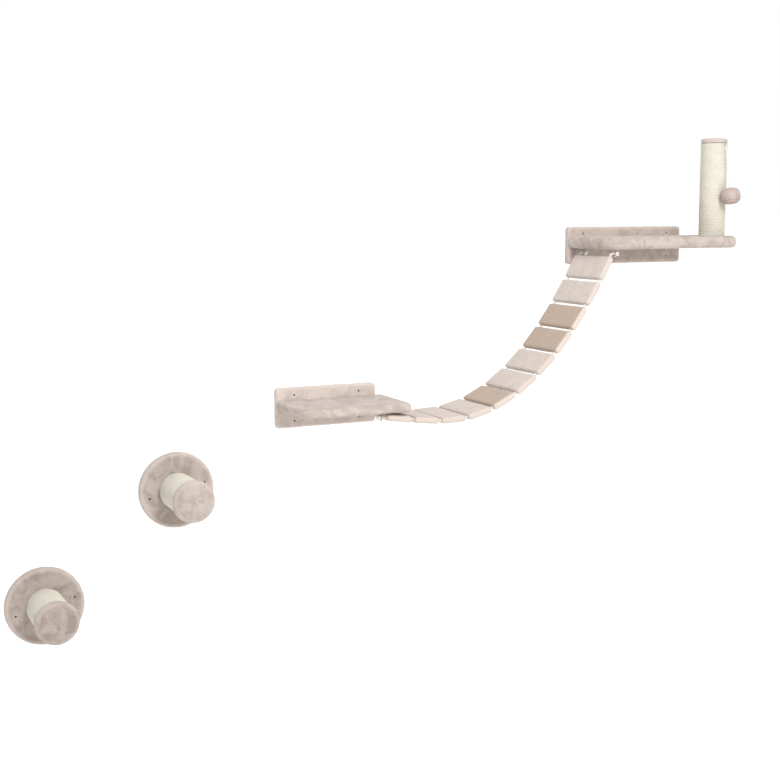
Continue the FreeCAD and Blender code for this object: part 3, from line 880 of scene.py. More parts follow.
class Workshop:
    """Dresses finished pieces and fixes them to their bodies."""

    def __init__(self, wardrobe: Wardrobe) -> None:
        """Keeps the materials at hand."""
        self.wardrobe = wardrobe

    def fix(
        self, item: bpy.types.Object, slot: Slot, body: str, nodes: Iterable[str] = ()
    ) -> bpy.types.Object:
        """Dresses a piece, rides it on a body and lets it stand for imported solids.

        Args:
            item: the piece.
            slot: its material slot.
            body: the body it rides on.
            nodes: the solids it stands for.

        Returns:
            The piece.
        """
        self.wardrobe.dress(item, slot)
        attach(item, body)
        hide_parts(*nodes)
        self.report(item)
        return item

    def bend(
        self, item: bpy.types.Object, slot: Slot, bodies: tuple[str, str], start: Vector, end: Vector
    ) -> None:
        """Dresses a piece that runs from one body to the next, and sets its place into its mesh.

        Args:
            item: the piece.
            slot: its material slot.
            bodies: not used.
            start: not used.
            end: not used.
        """
        self.wardrobe.dress(item, slot)
        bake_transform(item)
        self.report(item)

    @staticmethod
    def report(item: bpy.types.Object) -> None:
        """Logs a finished piece."""
        faces = len(item.data.polygons) if item.type == "MESH" else 0
        LOG.info("%s, %d faces", item.name, faces)


def is_upright(edge: bmesh.types.BMEdge) -> bool:
    """Whether an edge runs along Z."""
    way = edge.verts[0].co - edge.verts[1].co
    return way.xy.length < TOUCH


def flat_at(edge: bmesh.types.BMEdge, height: float) -> bool:
    """Whether an edge lies level at a height and bounds an upright face."""
    level = all(abs(point.co.z - height) < TOUCH for point in edge.verts)
    return level and any(abs(face.normal.z) < LEANING for face in edge.link_faces)


def rim_highlight_share(inset: float) -> float:
    """How strongly a rim is painted lighter at a distance in from it: a painted highlight, partly the pile opening
    there.
    """
    return 1.0 - bl_math.smoothstep(RIM_PALE, RIM_PLAIN, inset)


def fullness(place: Vector, size: Vector, power: float) -> float:
    """How full the padding of a block is.

    Args:
        place: a place on the block.
        size: the block's sides.
        power: how late it falls off towards the edges.

    Returns:
        From 0 at the block's edges to 1 in its middle.
    """
    across = max(0.0, 1.0 - abs(2 * place.x / size.x) ** power)
    along = max(0.0, 1.0 - abs(2 * place.y / size.y) ** power)
    return across * along


@dataclass(frozen=True)
class ScrewHole:
    """A wall-screw hole through plush that faces +Z, its rim turned in."""

    radius: float = 0.0027
    depth: float = 0.0028
    skin_depths: float = 2.5
    rim_radii: float = 2.0
    facing: float = 0.3

    def cut(self, shape: Shape, place: Vector) -> None:
        """Opens the hole and turns its rim in.

        Args:
            shape: the plush.
            place: the hole's middle, at the skin's height.
        """
        form = shape.form
        gone = [face for face in form.faces if self.takes(face, place)]
        bmesh.ops.delete(form, geom=gone, context="FACES")
        rim = [edge for edge in form.edges if edge.is_boundary and self.bounds(edge, place)]
        for point in {point for edge in rim for point in edge.verts}:
            way = point.co.xy - place.xy
            point.co.xy = place.xy + way.normalized() * self.radius
        fold = bmesh.ops.extrude_edge_only(form, edges=rim)["geom"]
        sunk = [point for point in fold if isinstance(point, bmesh.types.BMVert)]
        bmesh.ops.translate(form, vec=-UP * self.depth, verts=sunk)

    def takes(self, face: bmesh.types.BMFace, place: Vector) -> bool:
        """Whether a face of the skin lies in the hole.

        Args:
            face: the face.
            place: the hole's middle.

        Returns:
            Whether the face goes.
        """
        middle = face.calc_center_median()
        near = (middle.xy - place.xy).length < self.radius
        level = abs(middle.z - place.z) < self.skin_depths * self.depth
        return near and level and face.normal.z > self.facing

    def bounds(self, edge: bmesh.types.BMEdge, place: Vector) -> bool:
        """Whether an open edge belongs to this hole."""
        return (edge.verts[0].co.xy - place.xy).length < self.rim_radii * self.radius


@dataclass
class SisalWinding:
    """Sisal cord wound round a tube in touching turns, over a plain lining."""

    workshop: Workshop
    node: str
    tube: str
    along: Vector
    bright: float
    cord: float = 0.0044
    press: float = 0.55
    packing: float = 0.5
    steps: int = 40
    sides: int = 8
    lining_steps: int = 64
    lining_inset: float = 0.001

    def build(self) -> None:
        """Winds the cord over the length that its solid takes up."""
        low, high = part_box(self.node)
        height = abs((high - low).dot(self.along))
        outer = self.reach_of(self.node)
        turns = math.floor((height - self.cord) / self.cord)
        pitch = (height - self.cord) / turns
        radius = outer - self.cord * self.press / 2
        shape = Shape()
        form = shape.form
        self.line(form, self.reach_of(self.tube), radius + self.packing * (outer - radius), height)
        self.repeat(form, self.turn(radius, pitch), pitch, turns)
        bmesh.ops.remove_doubles(form, verts=form.verts, dist=TOUCH)
        bmesh.ops.holes_fill(form, edges=[edge for edge in form.edges if edge.is_boundary])
        self.repeat(form, self.turn(radius, 0.0), height - self.cord, count=2)
        self.map_lay(form, radius, pitch)
        bmesh.ops.recalc_face_normals(form, faces=form.faces)
        shape.dyed(lambda place: (self.bright, 0.0, 0.0))
        foot = middle_of(self.node) - self.along * height / 2
        shape.placed(Matrix.Translation(foot) @ upright_along(self.along))
        self.workshop.fix(shape.finished(self.node + "_wound"), Slot.SISAL, ROOT, [self.node])

    def reach_of(self, node: str) -> float:
        """Measures a round solid about the winding's axis.

        Args:
            node: the solid.

        Returns:
            Its outer radius.
        """
        low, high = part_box(node)
        size = high - low
        return min(value for value, way in zip(size, self.along) if abs(way) < LEANING) / 2

    def line(self, form: bmesh.types.BMesh, inner: float, outer: float, height: float) -> None:
        """Adds the layer under the turns, a plain ring between two radii.

        Args:
            form: what it is added to, about Z.
            inner: its inner radius.
            outer: its outer radius.
            height: the winding's height.
        """
        section = bmesh.ops.create_grid(form, x_segments=1, y_segments=1, size=0.5)["verts"]
        bmesh.ops.delete(form, geom=list(section[0].link_faces), context="FACES_ONLY")
        middle = Matrix.Translation(((inner + outer) / 2, 0.0, height / 2))
        stretch = Matrix.Diagonal((outer - inner, height - self.lining_inset, 1.0, 1.0))
        bmesh.ops.transform(form, matrix=middle @ QUARTER_TURN @ stretch, verts=section)
        edges = {edge for point in section for edge in point.link_edges}
        bmesh.ops.spin(
            form, geom=section + list(edges), cent=Vector(), axis=UP,
            angle=math.tau, steps=self.lining_steps, use_merge=True,
        )

    def turn(self, radius: float, pitch: float) -> bpy.types.Mesh:
        """Spins one turn of cord about Z, its foot at zero.

        Args:
            radius: the cord's middle from the axis.
            pitch: how far the turn climbs; a turn that doesn't climb closes on itself.

        Returns:
            The turn as mesh data.
        """
        form = bmesh.new()
        ring = bmesh.ops.create_circle(form, segments=self.sides, radius=self.cord / 2)["verts"]
        middle = Matrix.Translation((radius, 0.0, self.cord / 2))
        flatten = Matrix.Diagonal((self.press, 1.0, 1.0, 1.0))
        bmesh.ops.transform(form, matrix=middle @ QUARTER_TURN @ flatten, verts=ring)
        bmesh.ops.spin(
            form, geom=list(form.verts) + list(form.edges), cent=Vector(), axis=UP,
            dvec=UP * pitch / self.steps, angle=math.tau, steps=self.steps, use_merge=pitch == 0.0,
        )
        data = bpy.data.meshes.new("turn")
        form.to_mesh(data)
        form.free()
        return data

    @staticmethod
    def repeat(form: bmesh.types.BMesh, turn: bpy.types.Mesh, pitch: float, count: int) -> None:
        """Adds a turn again and again up Z, and lets go of its mesh data.

        Args:
            form: what it is added to.
            turn: the turn.
            pitch: from one turn to the next.
            count: how many.
        """
        for _ in range(count):
            form.from_mesh(turn)
            turn.transform(Matrix.Translation(UP * pitch))
        bpy.data.meshes.remove(turn)

    def map_lay(self, form: bmesh.types.BMesh, radius: float, pitch: float) -> None:
        """Maps U along the cord in metres and V once round it, its seam on the hidden side.

        Args:
            form: the wound cord, about Z.
            radius: the cord's middle from the axis.
            pitch: height of a turn.
        """
        layer = form.loops.layers.uv.new("lay")
        girth = math.tau * radius
        for face in form.faces:
            for corner in face.loops:
                place = corner.vert.co
                share = math.atan2(place.y, place.x) / math.tau % 1.0
                rise = place.z - self.cord / 2
                turn = round(rise / pitch - share)
                off = rise - (turn + share) * pitch
                around = math.atan2(off, (place.xy.length - radius) / self.press) / math.tau
                corner[layer].uv = ((turn + share) * girth, around)


@dataclass
class PaddedCap:
    """A padded plush cap on a post's end: drawn-in hem, full rim and a low crown."""

    workshop: Workshop
    name: str
    tone: float
    seed: float
    mottle: float = 0.34
    painted_rim_highlight: float = 0.4
    rim: float = 0.009
    rim_steps: int = 6
    hem: float = 0.0025
    hem_steps: int = 3
    crown: float = 0.006
    crown_facing: float = 0.2
    draw: float = 0.0016
    draw_height: float = 0.008
    draw_from: float = 0.9
    pile: float = 0.0011
    voxel: float = 0.0024
    fill: float = 0.85

    def build(self, foot: float, top: float, stand: Matrix) -> None:
        """Builds the cap in place of its solid.

        Args:
            foot: height of its hem along its own axis.
            top: height of its crown along its own axis.
            stand: from its own axis to its place.
        """
        node = self.name + "_plush"
        low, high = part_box(node)
        radius = (high.x - low.x) / 2
        shoulder = top - self.crown
        shape = Shape().disc(radius, foot, shoulder)
        shape.rounded(lambda edge: flat_at(edge, shoulder), self.rim, self.rim_steps)
        shape.rounded(lambda edge: flat_at(edge, foot), self.hem, self.hem_steps)
        shape.skinned(self.voxel)
        shape.moved(lambda place, normal: self.swollen(place, normal, radius, foot))
        shape.napped(self.pile, self.seed)
        # The rim is painted lighter: a painted highlight, partly the pile opening there.
        shape.dyed(lambda place: (self.tone, self.mottle, self.painted_rim_highlight * rim_highlight_share(radius - place.xy.length)))
        shape.placed(stand)
        item = self.workshop.fix(shape.finished(self.name + "_pile"), Slot.PLUSH_LIGHT, ROOT, [node])

    def swollen(self, place: Vector, normal: Vector, radius: float, foot: float) -> Vector:
        """How far the crown lifts a point and the hem draws it in.

        Args:
            place: the point's place.
            normal: its normal.
            radius: the cap's radius.
            foot: height of the hem.

        Returns:
            The point's shift.
        """
        share = min(1.0, place.xy.length / radius)
        lift = self.crown * (1.0 - share ** 2) if normal.z > self.crown_facing else 0.0
        low = max(0.0, 1.0 - (place.z - foot) / self.draw_height)
        draw = -self.draw * low if share > self.draw_from else 0.0
        return UP * lift + Vector((place.x, place.y, 0.0)).normalized() * draw


@dataclass
class RoundStep:
    """A wall step: plush base, sisal post and padded cap."""

    workshop: Workshop
    name: str
    base_tone: float
    base_seed: float
    cap_tone: float
    cap_seed: float
    mottle: float = 0.32
    painted_rim_highlight: float = 0.55
    rim: float = 0.006
    hem_sink: float = 0.0015
    hem_flat: float = 0.001
    pile: float = 0.0011
    voxel: float = 0.0024
    hole: ScrewHole = ScrewHole()
    screw_reach: float = 0.076
    screw_tilt: float = math.radians(12.0)
    sisal_bright: float = 0.1

    def build(self) -> None:
        """Builds the plush base, the winding and the cap."""
        middle = middle_of(self.name + "_base_plush")
        stand = Matrix.Translation((middle.x, 0.0, middle.z)) @ QUARTER_TURN
        self.build_base(stand)
        sisal, tube = self.name + "_sisal", self.name + "_tube"
        SisalWinding(self.workshop, sisal, tube, -INTO_WALL, self.sisal_bright).build()
        low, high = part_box(self.name + "_cap_plush")
        cap = PaddedCap(self.workshop, self.name + "_cap", self.cap_tone, self.cap_seed)
        cap.build(-high.y, -low.y, stand)

    def build_base(self, stand: Matrix) -> None:
        """Builds the plush that wraps the round base, with two screw holes.

        Args:
            stand: from the step's own axis to its place on the wall.
        """
        node = self.name + "_base_plush"
        low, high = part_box(node)
        front = -low.y
        radius = (high.x - low.x) / 2
        shape = Shape().disc(radius, self.hem_sink, front)
        shape.rounded(lambda edge: flat_at(edge, front), self.rim, segments=5)
        shape.skinned(self.voxel).napped(self.pile, self.base_seed, self.hem_sink + self.hem_flat)
        turn = Matrix.Rotation(self.screw_tilt, 3, "Z")
        for side in (1, -1):
            self.hole.cut(shape, turn @ Vector((side * self.screw_reach, 0.0, 0.0)) + UP * front)
        # The rim is painted lighter: a painted highlight, partly the pile opening there.
        shape.dyed(
            lambda place: (self.base_tone, self.mottle, self.painted_rim_highlight * rim_highlight_share(radius - place.xy.length))
        )
        shape.placed(stand)
        self.workshop.fix(shape.finished(self.name + "_base_pile"), Slot.PLUSH_LIGHT, ROOT, [node])


@dataclass
class Shelf:
    """A plush shelf on its plush back board."""

    workshop: Workshop
    name: str
    back_tone: float
    back_seed: float
    shelf_tone: float
    shelf_seed: float
    rim: float
    back_mottle: float = 0.28
    back_painted_rim_highlight: float = 0.4
    back_corner: float = 0.010
    back_rim: float = 0.006
    shelf_mottle: float = 0.3
    corner: float = 0.035
    swell: float = 0.0008
    swell_power: float = 6.0
    hem_sink: float = 0.0015
    hem_flat: float = 0.001
    pile: float = 0.0011
    voxel: float = 0.0026
    hole: ScrewHole = ScrewHole()
    screw_side_inset: float = 0.052
    screw_edge_inset: float = 0.020

    def build(self) -> None:
        """Builds the back and the shelf."""
        self.build_back()
        self.build_board()

    def build_back(self) -> None:
        """Builds the plush over the back board, with its four screw holes."""
        node = self.name + "_back_plush"
        low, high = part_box(node)
        front = -low.y
        size = Vector((high.x - low.x, high.z - low.z, front - self.hem_sink))
        shape = Shape().block(size)
        shape.rounded(is_upright, self.back_corner, segments=6)
        shape.rounded(lambda edge: flat_at(edge, size.z / 2), self.back_rim, segments=5)
        shape.skinned(self.voxel).napped(self.pile, self.back_seed, self.hem_flat - size.z / 2)
        for place in self.screw_places(size):
            self.hole.cut(shape, place)
        shape.dyed(lambda place: self.back_pile(place, size))
        middle = Vector(((low.x + high.x) / 2, -(front + self.hem_sink) / 2, (low.z + high.z) / 2))
        shape.placed(Matrix.Translation(middle) @ QUARTER_TURN)
        self.workshop.fix(shape.finished(self.name + "_back_pile"), Slot.PLUSH_LIGHT, ROOT, [node])

    def screw_places(self, size: Vector) -> list[Vector]:
        """The four screw holes on the front of a back of a size."""
        across, along = size.x / 2 - self.screw_side_inset, size.y / 2 - self.screw_edge_inset
        return [Vector((side * across, rise * along, size.z / 2)) for side in (-1, 1) for rise in (-1, 1)]

    def back_pile(self, place: Vector, size: Vector) -> Triple:
        """Tone, mottle and painted rim highlight at a place on a back of a size."""
        inset = min(size.x / 2 - abs(place.x), size.y / 2 - abs(place.y))
        # The back's rim is painted lighter: a painted highlight, partly the pile opening there.
        return self.back_tone, self.back_mottle, self.back_painted_rim_highlight * rim_highlight_share(inset)

    def build_board(self) -> None:
        """Builds the plush wrapped round the shelf board, square where it meets the back."""
        node = self.name + "_shelf_plush"
        low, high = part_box(node)
        size = high - low
        shape = Shape().block(size)
        shape.rounded(lambda edge: is_upright(edge) and edge.verts[0].co.y < 0, self.corner, segments=10)
        shape.rounded(lambda edge: self.is_wrapped(edge, size), self.rim, segments=5)
        shape.skinned(self.voxel)
        shape.moved(lambda place, normal: self.padding(place, normal, size))
        shape.napped(self.pile, self.shelf_seed)
        shape.dyed(lambda place: (self.shelf_tone, self.shelf_mottle, 0.0))
        shape.placed(Matrix.Translation((low + high) / 2))
        self.workshop.fix(shape.finished(self.name + "_shelf_pile"), Slot.PLUSH_LIGHT, ROOT, [node])

    @staticmethod
    def is_wrapped(edge: bmesh.types.BMEdge, size: Vector) -> bool:
        """Whether an edge of the shelf bounds its top or its underside, other than at the back."""
        at_back = all(point.co.y > size.y / 2 - TOUCH for point in edge.verts)
        return not at_back and (flat_at(edge, size.z / 2) or flat_at(edge, -size.z / 2))

    def padding(self, place: Vector, normal: Vector, size: Vector) -> Vector:
        """How far the plush swells on the shelf's top.

        Args:
            place: a point's place.
            normal: its normal.
            size: the shelf's sides.

        Returns:
            The point's shift.
        """
        if normal.z < LEANING:
            return Vector()
        return UP * (self.swell * fullness(place, size, self.swell_power))


@dataclass(frozen=True)
class Rope:
    """Three-strand rope that follows a smooth route in a plane of constant depth."""

    diameter: float = 0.008
    lay: float = 0.026
    strands: int = 3
    strand_share: float = 0.265
    resolution: int = 24

    def lay_up(self, name: str, points: Sequence[Vector], start: float) -> bpy.types.Object:
        """Lays the strands along a route.

        Args:
            name: the piece's name.
            points: the route's control points.
            start: length of rope before the route, so that the lay runs on.

        Returns:
            The rope as a mesh.
        """
        route = meshed(smooth_line("route", points, self.resolution))
        places = [point.co.copy() for point in route.vertices]
        bpy.data.meshes.remove(route)
        curve = bpy.data.curves.new(name, "CURVE")
        curve.dimensions = "3D"
        thicken(curve, self.diameter * self.strand_share)
        for strand in range(self.strands):
            self.add_strand(curve, places, start, strand / self.strands)
        mesh = meshed(curve)
        mesh.name = name
        for face in mesh.polygons:
            face.use_smooth = True
        return linked(name, mesh)

    def add_strand(
        self, curve: bpy.types.Curve, places: Sequence[Vector], start: float, share: float
    ) -> None:
        """Adds one strand that winds round a route.

        Args:
            curve: what it is added to.
            places: points along the route.
            start: length of rope before the route.
            share: the strand's place round the rope, as a share of a turn.
        """
        reach = self.diameter / 2 - self.diameter * self.strand_share
        spline = curve.splines.new("POLY")
        spline.points.add(len(places) - 1)
        travelled = start
        for index, place in enumerate(places):
            before = places[max(0, index - 1)]
            after = places[min(len(places) - 1, index + 1)]
            travelled += (place - before).length
            side = (after - before).normalized().cross(INTO_WALL)
            angle = math.tau * (travelled / self.lay + share)
            off = INTO_WALL * math.cos(angle) + side * math.sin(angle)
            spline.points[index].co = (*(place + off * reach), 1.0)


@dataclass(frozen=True)
class StopperKnot:
    """A drawn-up stopper knot: rope turns crossing over a round body."""

    radius: float = 0.008
    core: float = 0.94
    turns: float = 1.5
    slant: float = 2.6
    swell: float = 0.26
    roundness: float = 0.7
    sink: float = 0.2

    def tied(self, name: str, middle: Vector) -> bpy.types.Object:
        """The knot as a mesh about a point."""
        shape = Shape().ball(self.radius * self.core, 1.0)
        return shape.moved(self.turned).placed(Matrix.Translation(middle)).finished(name)

    def turned(self, place: Vector, normal: Vector) -> Vector:
        """How far the rope's turns stand out at a point.

        Args:
            place: the point's place.
            normal: its normal.

        Returns:
            The point's shift.
        """
        angle = math.atan2(place.z, place.y)
        wave = abs(math.sin(self.turns * angle + self.slant * place.x / self.radius))
        return normal * self.radius * (self.swell * wave ** self.roundness - self.sink)


@dataclass
class Bridge:
    """Padded slats strung on two ropes between the shelves."""

    workshop: Workshop
    slats: int = 11
    open_after: int = 6
    tan_slats: tuple[int, ...] = (3, 4, 7)
    length: float = 0.073
    width: float = 0.182
    thickness: float = 0.017
    gap: float = 0.0095
    corner: float = 0.007
    rim: float = 0.0062
    swell: float = 0.0007
    swell_power: float = 4.0
    pile: float = 0.0009
    voxel: float = 0.0022
    seed_step: float = 3.0
    tone: float = 0.8
    mottle: float = 0.12
    end_fade: float = 0.003
    fill: float = 0.9
    rope: Rope = Rope()
    rope_grip: float = 0.004
    rope_lap: float = 0.001
    knot: StopperKnot = StopperKnot()
    joints: list[Vector] = field(default_factory=list)

    def build(self) -> None:
        """Builds the slats, the ropes and their knots."""
        self.read_joints()
        for number in range(1, self.slats + 1):
            self.build_slat(number)
        for node in ("front_rope", "rear_rope"):
            self.build_rope(node)

    def read_joints(self) -> None:
        """Reads the bridge's line from the record's joints, upper end first."""
        names = ["bridge_bounce"] + [f"{self.body(number)}_hinge" for number in range(2, self.slats + 1)]
        upper = [hinge_point(name) for name in names[: self.open_after]]
        lower = [hinge_point(name) for name in names[self.open_after:]]
        last = middle_of(f"{self.body(self.open_after)}_cover") * 2 - upper[-1]
        self.joints = upper + [last] + lower

    @staticmethod
    def body(number: int) -> str:
        """Name of a slat's body."""
        return f"slat_{number:02d}"

    def way(self, number: int) -> Vector:
        """Direction along a slat, towards the upper shelf."""
        return (self.joints[number - 1] - self.joints[number]).normalized()

    def build_slat(self, number: int) -> None:
        """Builds one slat: a padded cover with full faces and rounded edges.

        Args:
            number: the slat's number, from the upper shelf.
        """
        body = self.body(number)
        node = f"{body}_cover"
        size = Vector((self.length, self.width, self.thickness))
        rims = (size.z / 2, -size.z / 2)
        shape = Shape().block(size)
        shape.rounded(is_upright, self.corner, segments=4)
        shape.rounded(lambda edge: any(flat_at(edge, rim) for rim in rims), self.rim, segments=5)
        shape.skinned(self.voxel)
        shape.moved(lambda place, normal: self.padding(place, normal, size))
        shape.napped(self.pile, self.seed_step * number)
        shape.dyed(lambda place: (self.tone, self.mottle, self.end_share(place)))
        way = self.way(number)
        turn = Matrix((way, INTO_WALL, way.cross(INTO_WALL))).transposed().to_4x4()
        shape.placed(Matrix.Translation(middle_of(node)) @ turn)
        slot = Slot.PLUSH_TAN if number in self.tan_slats else Slot.PLUSH_LIGHT
        item = self.workshop.fix(shape.finished(f"{body}_pile"), slot, body, [node])

    def padding(self, place: Vector, normal: Vector, size: Vector) -> Vector:
        """How far the padding swells both faces of a slat."""
        return Vector((0.0, 0.0, normal.z)) * (self.swell * fullness(place, size, self.swell_power))

    def end_share(self, place: Vector) -> float:
        """How far a point of a slat lies on its two end faces, from 0 to 1."""
        past = abs(place.y) - self.width / 2 + self.rim
        return min(1.0, max(0.0, past / self.end_fade))

    def build_rope(self, node: str) -> None:
        """Builds one rope: the two leads to the eyes, a length in each gap, and two knots.

        Args:
            node: the rope's solid.
        """
        low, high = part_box(node)
        depth = (low.y + high.y) / 2
        joints = [Vector((place.x, depth, place.z)) for place in self.joints]
        first, last = joints[0], joints[-1]
        half = self.gap / 2
        hold = half + self.rope_grip
        upper_end = Vector((high.x - self.knot.radius, depth, high.z - self.knot.radius))
        knot = self.knot.tied(f"{node}_upper_knot", upper_end)
        self.workshop.fix(knot, Slot.BRIDGE_ROPE, ROOT, [node])
        way = self.way(1)
        corner = first + way * ((upper_end.z - first.z) / way.z)
        points = [upper_end, corner, first, first - way * hold]
        lead = self.rope.lay_up(f"{node}_upper_lead", points, 0.0)
        self.workshop.bend(lead, Slot.BRIDGE_ROPE, (ROOT, self.body(1)), corner, first - way * half)
        for number in range(1, self.slats):
            self.build_gap(node, number, joints[number])
        way = self.way(self.slats)
        lower_end = Vector((low.x + self.knot.radius, depth, last.z))
        points = [last + way * hold, last, lower_end]
        lead = self.rope.lay_up(f"{node}_lower_lead", points, self.travelled(self.slats - 1))
        bodies = (ROOT, self.body(self.slats))
        self.workshop.bend(lead, Slot.BRIDGE_ROPE, bodies, lower_end, last + way * half)
        knot = self.knot.tied(f"{node}_lower_knot", lower_end)
        self.workshop.fix(knot, Slot.BRIDGE_ROPE, ROOT)

    def travelled(self, number: int) -> float:
        """Length of rope along a number of slats and their gaps."""
        return number * (self.length + self.gap)

    def build_gap(self, node: str, number: int, joint: Vector) -> None:
        """Builds the rope in the gap below a slat; where the chain is open it is in two halves.

        Args:
            node: the rope's solid.
            number: the slat above the gap.
            joint: the middle of the gap.
        """
        above, below = self.way(number), self.way(number + 1)
        half = self.gap / 2
        start, end = joint + above * half, joint - below * half
        top, foot = start + above * self.rope_grip, end - below * self.rope_grip
        bodies = (self.body(number), self.body(number + 1))
        name = f"{node}_gap_{number:02d}"
        travelled = self.travelled(number)
        if number != self.open_after:
            item = self.rope.lay_up(name, [top, joint, foot], travelled)
            self.workshop.bend(item, Slot.BRIDGE_ROPE, bodies, start, end)
            return
        routes = (
            [top, start, joint - below * self.rope_lap],
            [joint + above * self.rope_lap, end, foot],
        )
        for body, points in zip(bodies, routes):
            item = self.rope.lay_up(f"{name}_{body}", points, travelled)
            self.workshop.fix(item, Slot.BRIDGE_ROPE, body)
            travelled += half + self.rope_grip


@dataclass
class ScratchingPost:
    """The sisal post on the upper shelf, with its plush cap."""

    workshop: Workshop
    sisal_bright: float = 0.0
    cap_tone: float = 0.6
    cap_mottle: float = 0.1
    cap_seed: float = 71.0
    cap_rim: float = 0.0048
    cap_hem: float = 0.002
    cap_crown: float = 0.003
    pile: float = 0.0008
    voxel: float = 0.002

    def build(self) -> None:
        """Winds the post and pads its cap, whose rim is plain and whose hem isn't drawn in."""
        SisalWinding(self.workshop, "post_sisal", "post_tube", UP, self.sisal_bright).build()
        low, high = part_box("post_cap_plush")
        cap = PaddedCap(
            self.workshop, "post_cap", self.cap_tone, self.cap_seed, mottle=self.cap_mottle, painted_rim_highlight=0.0,
            rim=self.cap_rim, rim_steps=5, hem=self.cap_hem, crown=self.cap_crown, draw=0.0,
            pile=self.pile, voxel=self.voxel,
        )
        stand = Matrix.Translation(((low.x + high.x) / 2, (low.y + high.y) / 2, low.z))
        cap.build(0.0, high.z - low.z, stand)


@dataclass
class HangingToy:
    """A stuffed ball on a cord below the post's cap."""

    workshop: Workshop
    width: float = 0.057
    height: float = 0.048
    drum_power: float = 2.7
    seam: float = 0.0014
    seam_level: float = 0.62
    seam_width: float = 0.0016
    seam_painted_shade: float = 0.8
    pole_share: float = 0.15
    pole_sink: float = 0.0025
    pile: float = 0.0011
    voxel: float = 0.0016
    seed: float = 29.0
    tone: float = 0.3
    mottle: float = 0.6
    fill: float = 0.8
    cord: float = 0.0025
    cord_start: float = 0.0011
    cord_grip: float = 0.006
    cord_resolution: int = 12
    ring_run: float = 0.015

    def build(self) -> None:
        """Builds the ball, then its cord."""
        pivot = hinge_point("toy_swing_outwards")
        middle = middle_of("toy_ball")
        way = (pivot - middle).normalized()
        self.build_ball(middle, way)
        self.build_cord(pivot - way * self.cord_start, middle, way)

    def build_ball(self, middle: Vector, way: Vector) -> None:
        """Builds the ball: a stuffed drum, drawn in along its seams and at the cord.

        Args:
            middle: the ball's middle.
            way: from there up the cord.
        """
        shape = Shape().ball(self.width / 2, self.height / self.width)
        shape.moved(self.filled).skinned(self.voxel)
        # The seams are drawn in and also painted darker: painted shade in their creases.
        shape.dyed(lambda place: (self.tone, self.mottle, self.seam_painted_shade * self.seam_share(place)))
        shape.moved(self.sewn).napped(self.pile, self.seed)
        shape.placed(Matrix.Translation(middle) @ upright_along(way))
        item = self.workshop.fix(shape.finished("toy_ball_pile"), Slot.TOY_PLUSH, "toy", ["toy_ball"])

    def filled(self, place: Vector, normal: Vector) -> Vector:
        """How far stuffing fills a point of the ball out towards a rounded drum.

        Args:
            place: the point's place.
            normal: its normal, which doesn't matter here.

        Returns:
            The point's shift.
        """
        reach = place.xy.length / (self.width / 2)
        rise = abs(place.z) / (self.height / 2)
        full = (reach ** self.drum_power + rise ** self.drum_power) ** (-1 / self.drum_power)
        return place * (full - 1.0)

    def sewn(self, place: Vector, normal: Vector) -> Vector:
        """How far the seams and the cord draw a point of the ball in."""
        pole = max(0.0, 1.0 - place.xy.length / (self.pole_share * self.width)) ** 2
        return -normal * (self.seam * self.seam_share(place) + self.pole_sink * pole)

    def seam_share(self, place: Vector) -> float:
        """How near a point of the ball lies to one of its seams.

        Args:
            place: the point's place.

        Returns:
            From 0 away from the seams to 1 on one.
        """
        level = self.seam_level * self.height / 2
        rim = abs(abs(place.z) - level)
        side = abs(place.x) if abs(place.z) < level else rim
        return max(0.0, 1.0 - min(rim, side) / self.seam_width)

    def build_cord(self, top: Vector, middle: Vector, way: Vector) -> None:
        """Builds the cord from the ring down into the ball, pulled straight by the ball's weight.

        Args:
            top: where it leaves the ring.
            middle: the ball's middle.
            way: from there up the cord.
        """
        foot = middle + way * (self.height / 2 - self.cord_grip)
        points = (top, top - way * self.ring_run, foot)
        curve = smooth_line("toy_cord_line", points, self.cord_resolution)
        thicken(curve, self.cord / 2)
        item = linked("toy_cord_line", curve)
        self.workshop.fix(item, Slot.TOY_CORD, "toy", ["toy_cord"])
        length = (top - foot).length


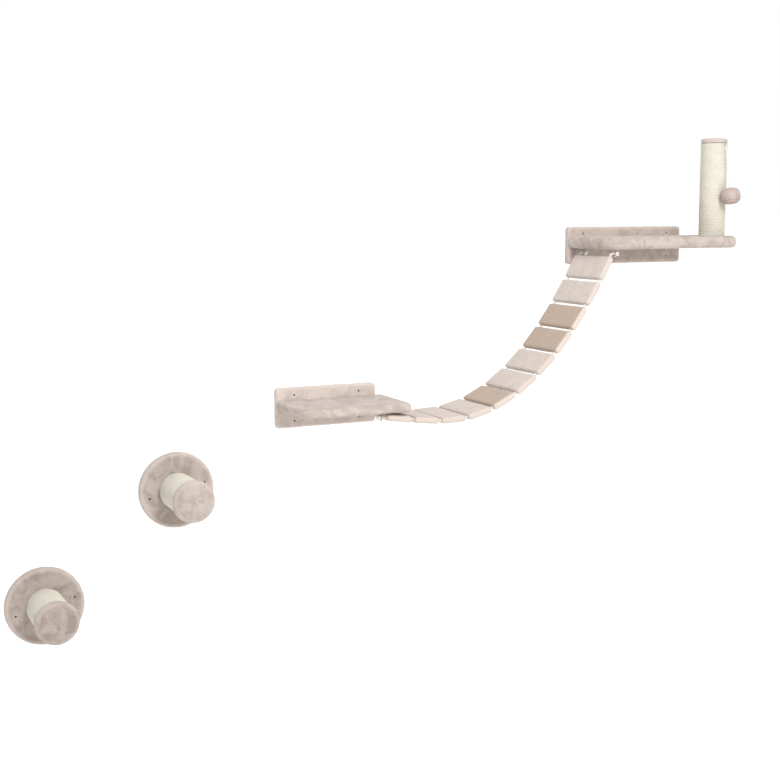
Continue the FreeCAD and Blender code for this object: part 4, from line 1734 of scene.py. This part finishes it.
@dataclass
class Studio:
    """Camera at the photograph's place, soft light and a pale floor."""

    focal_px: float = 1287.28
    place: Triple = (-1.35015, -3.24791, 0.52741)
    yaw: float = math.radians(25.54)
    pitch: float = math.radians(7.92)
    roll: float = math.radians(-0.12)
    view_reach: float = 1000.0
    floor_level: float = -2.4
    floor_size: float = 400.0
    floor_glow: float = 0.5
    front_glow: float = 0.74
    glow_band: Band = (-0.2, 0.6)
    lamp_place: Triple = (0.1, -2.9, 2.3)
    lamp_aim: Triple = (0.2, 0.0, 0.0)
    lamp_size: float = 1.4
    lamp_power: float = 104.0

    def build(self) -> None:
        """Sets up the whole studio."""
        self.build_camera()
        self.build_floor()
        self.build_surroundings()
        self.build_lamp()

    def build_camera(self) -> None:
        """Sets the camera, fitted to the photograph."""
        data = bpy.data.cameras.new("photo_camera")
        data.sensor_width = SENSOR_MM
        data.lens = self.focal_px * SENSOR_MM / max(PHOTO_WIDTH, PHOTO_HEIGHT)
        data.clip_end = self.view_reach
        item = linked("photo_camera", data)
        level = math.cos(self.pitch)
        forward = Vector((math.sin(self.yaw) * level, math.cos(self.yaw) * level, -math.sin(self.pitch)))
        turn = aimed_along(forward) @ Matrix.Rotation(self.roll, 4, "Z")
        item.matrix_world = Matrix.Translation(self.place) @ turn
        bpy.context.scene.camera = item

    def build_floor(self) -> None:
        """Lays a wide pale floor below the set."""
        shape = Shape()
        bmesh.ops.create_grid(shape.form, x_segments=1, y_segments=1, size=self.floor_size)
        floor = shape.placed(Matrix.Translation(UP * self.floor_level)).finished("studio_floor")
        floor.data.materials.append(StudioPaper("studio_paper", self.floor_glow).material())

    def build_surroundings(self) -> None:
        """Makes the surroundings white, and dimmer in front of the wall."""
        scene = bpy.context.scene
        scene.view_settings.view_transform = "Standard"
        board = Board(bpy.data.worlds.new("studio"))
        _, depth, _ = board.axes(board.coordinates("Generated"))
        glow = self.front_glow + (1.0 - self.front_glow) * board.ramp(depth, *self.glow_band)
        back = board.node("ShaderNodeBackground", {}, {"Color": (1.0, 1.0, 1.0, 1.0), "Strength": glow})
        board.node("ShaderNodeOutputWorld", {}, {"Surface": back.outputs[0]})
        scene.world = board.owner

    def build_lamp(self) -> None:
        """Hangs one broad square lamp above and in front of the wall."""
        data = bpy.data.lights.new("key_lamp", "AREA")
        data.size = self.lamp_size
        data.energy = self.lamp_power
        item = linked("key_lamp", data)
        way = Vector(self.lamp_aim) - Vector(self.lamp_place)
        item.matrix_world = Matrix.Translation(self.lamp_place) @ aimed_along(way)


def main() -> None:
    """Builds the set in order."""
    logging.basicConfig(level=logging.INFO, format="%(message)s")
    wardrobe = Wardrobe()
    wardrobe.dress_solids()
    shop = Workshop(wardrobe)
    Studio().build()
    HangingToy(shop).build()
    RoundStep(shop, "lower_step", base_tone=0.2, base_seed=5.0, cap_tone=0.13, cap_seed=16.0).build()
    RoundStep(shop, "upper_step", base_tone=0.28, base_seed=37.0, cap_tone=0.42, cap_seed=48.0).build()
    Shelf(
        shop, "lower", back_tone=0.85, back_seed=51.0, shelf_tone=0.5, shelf_seed=68.0, rim=0.0085
    ).build()
    Shelf(
        shop, "upper", back_tone=0.42, back_seed=83.0, shelf_tone=0.42, shelf_seed=100.0, rim=0.0145
    ).build()
    Bridge(shop).build()
    ScratchingPost(shop).build()


if __name__ == "__main__":
    main()
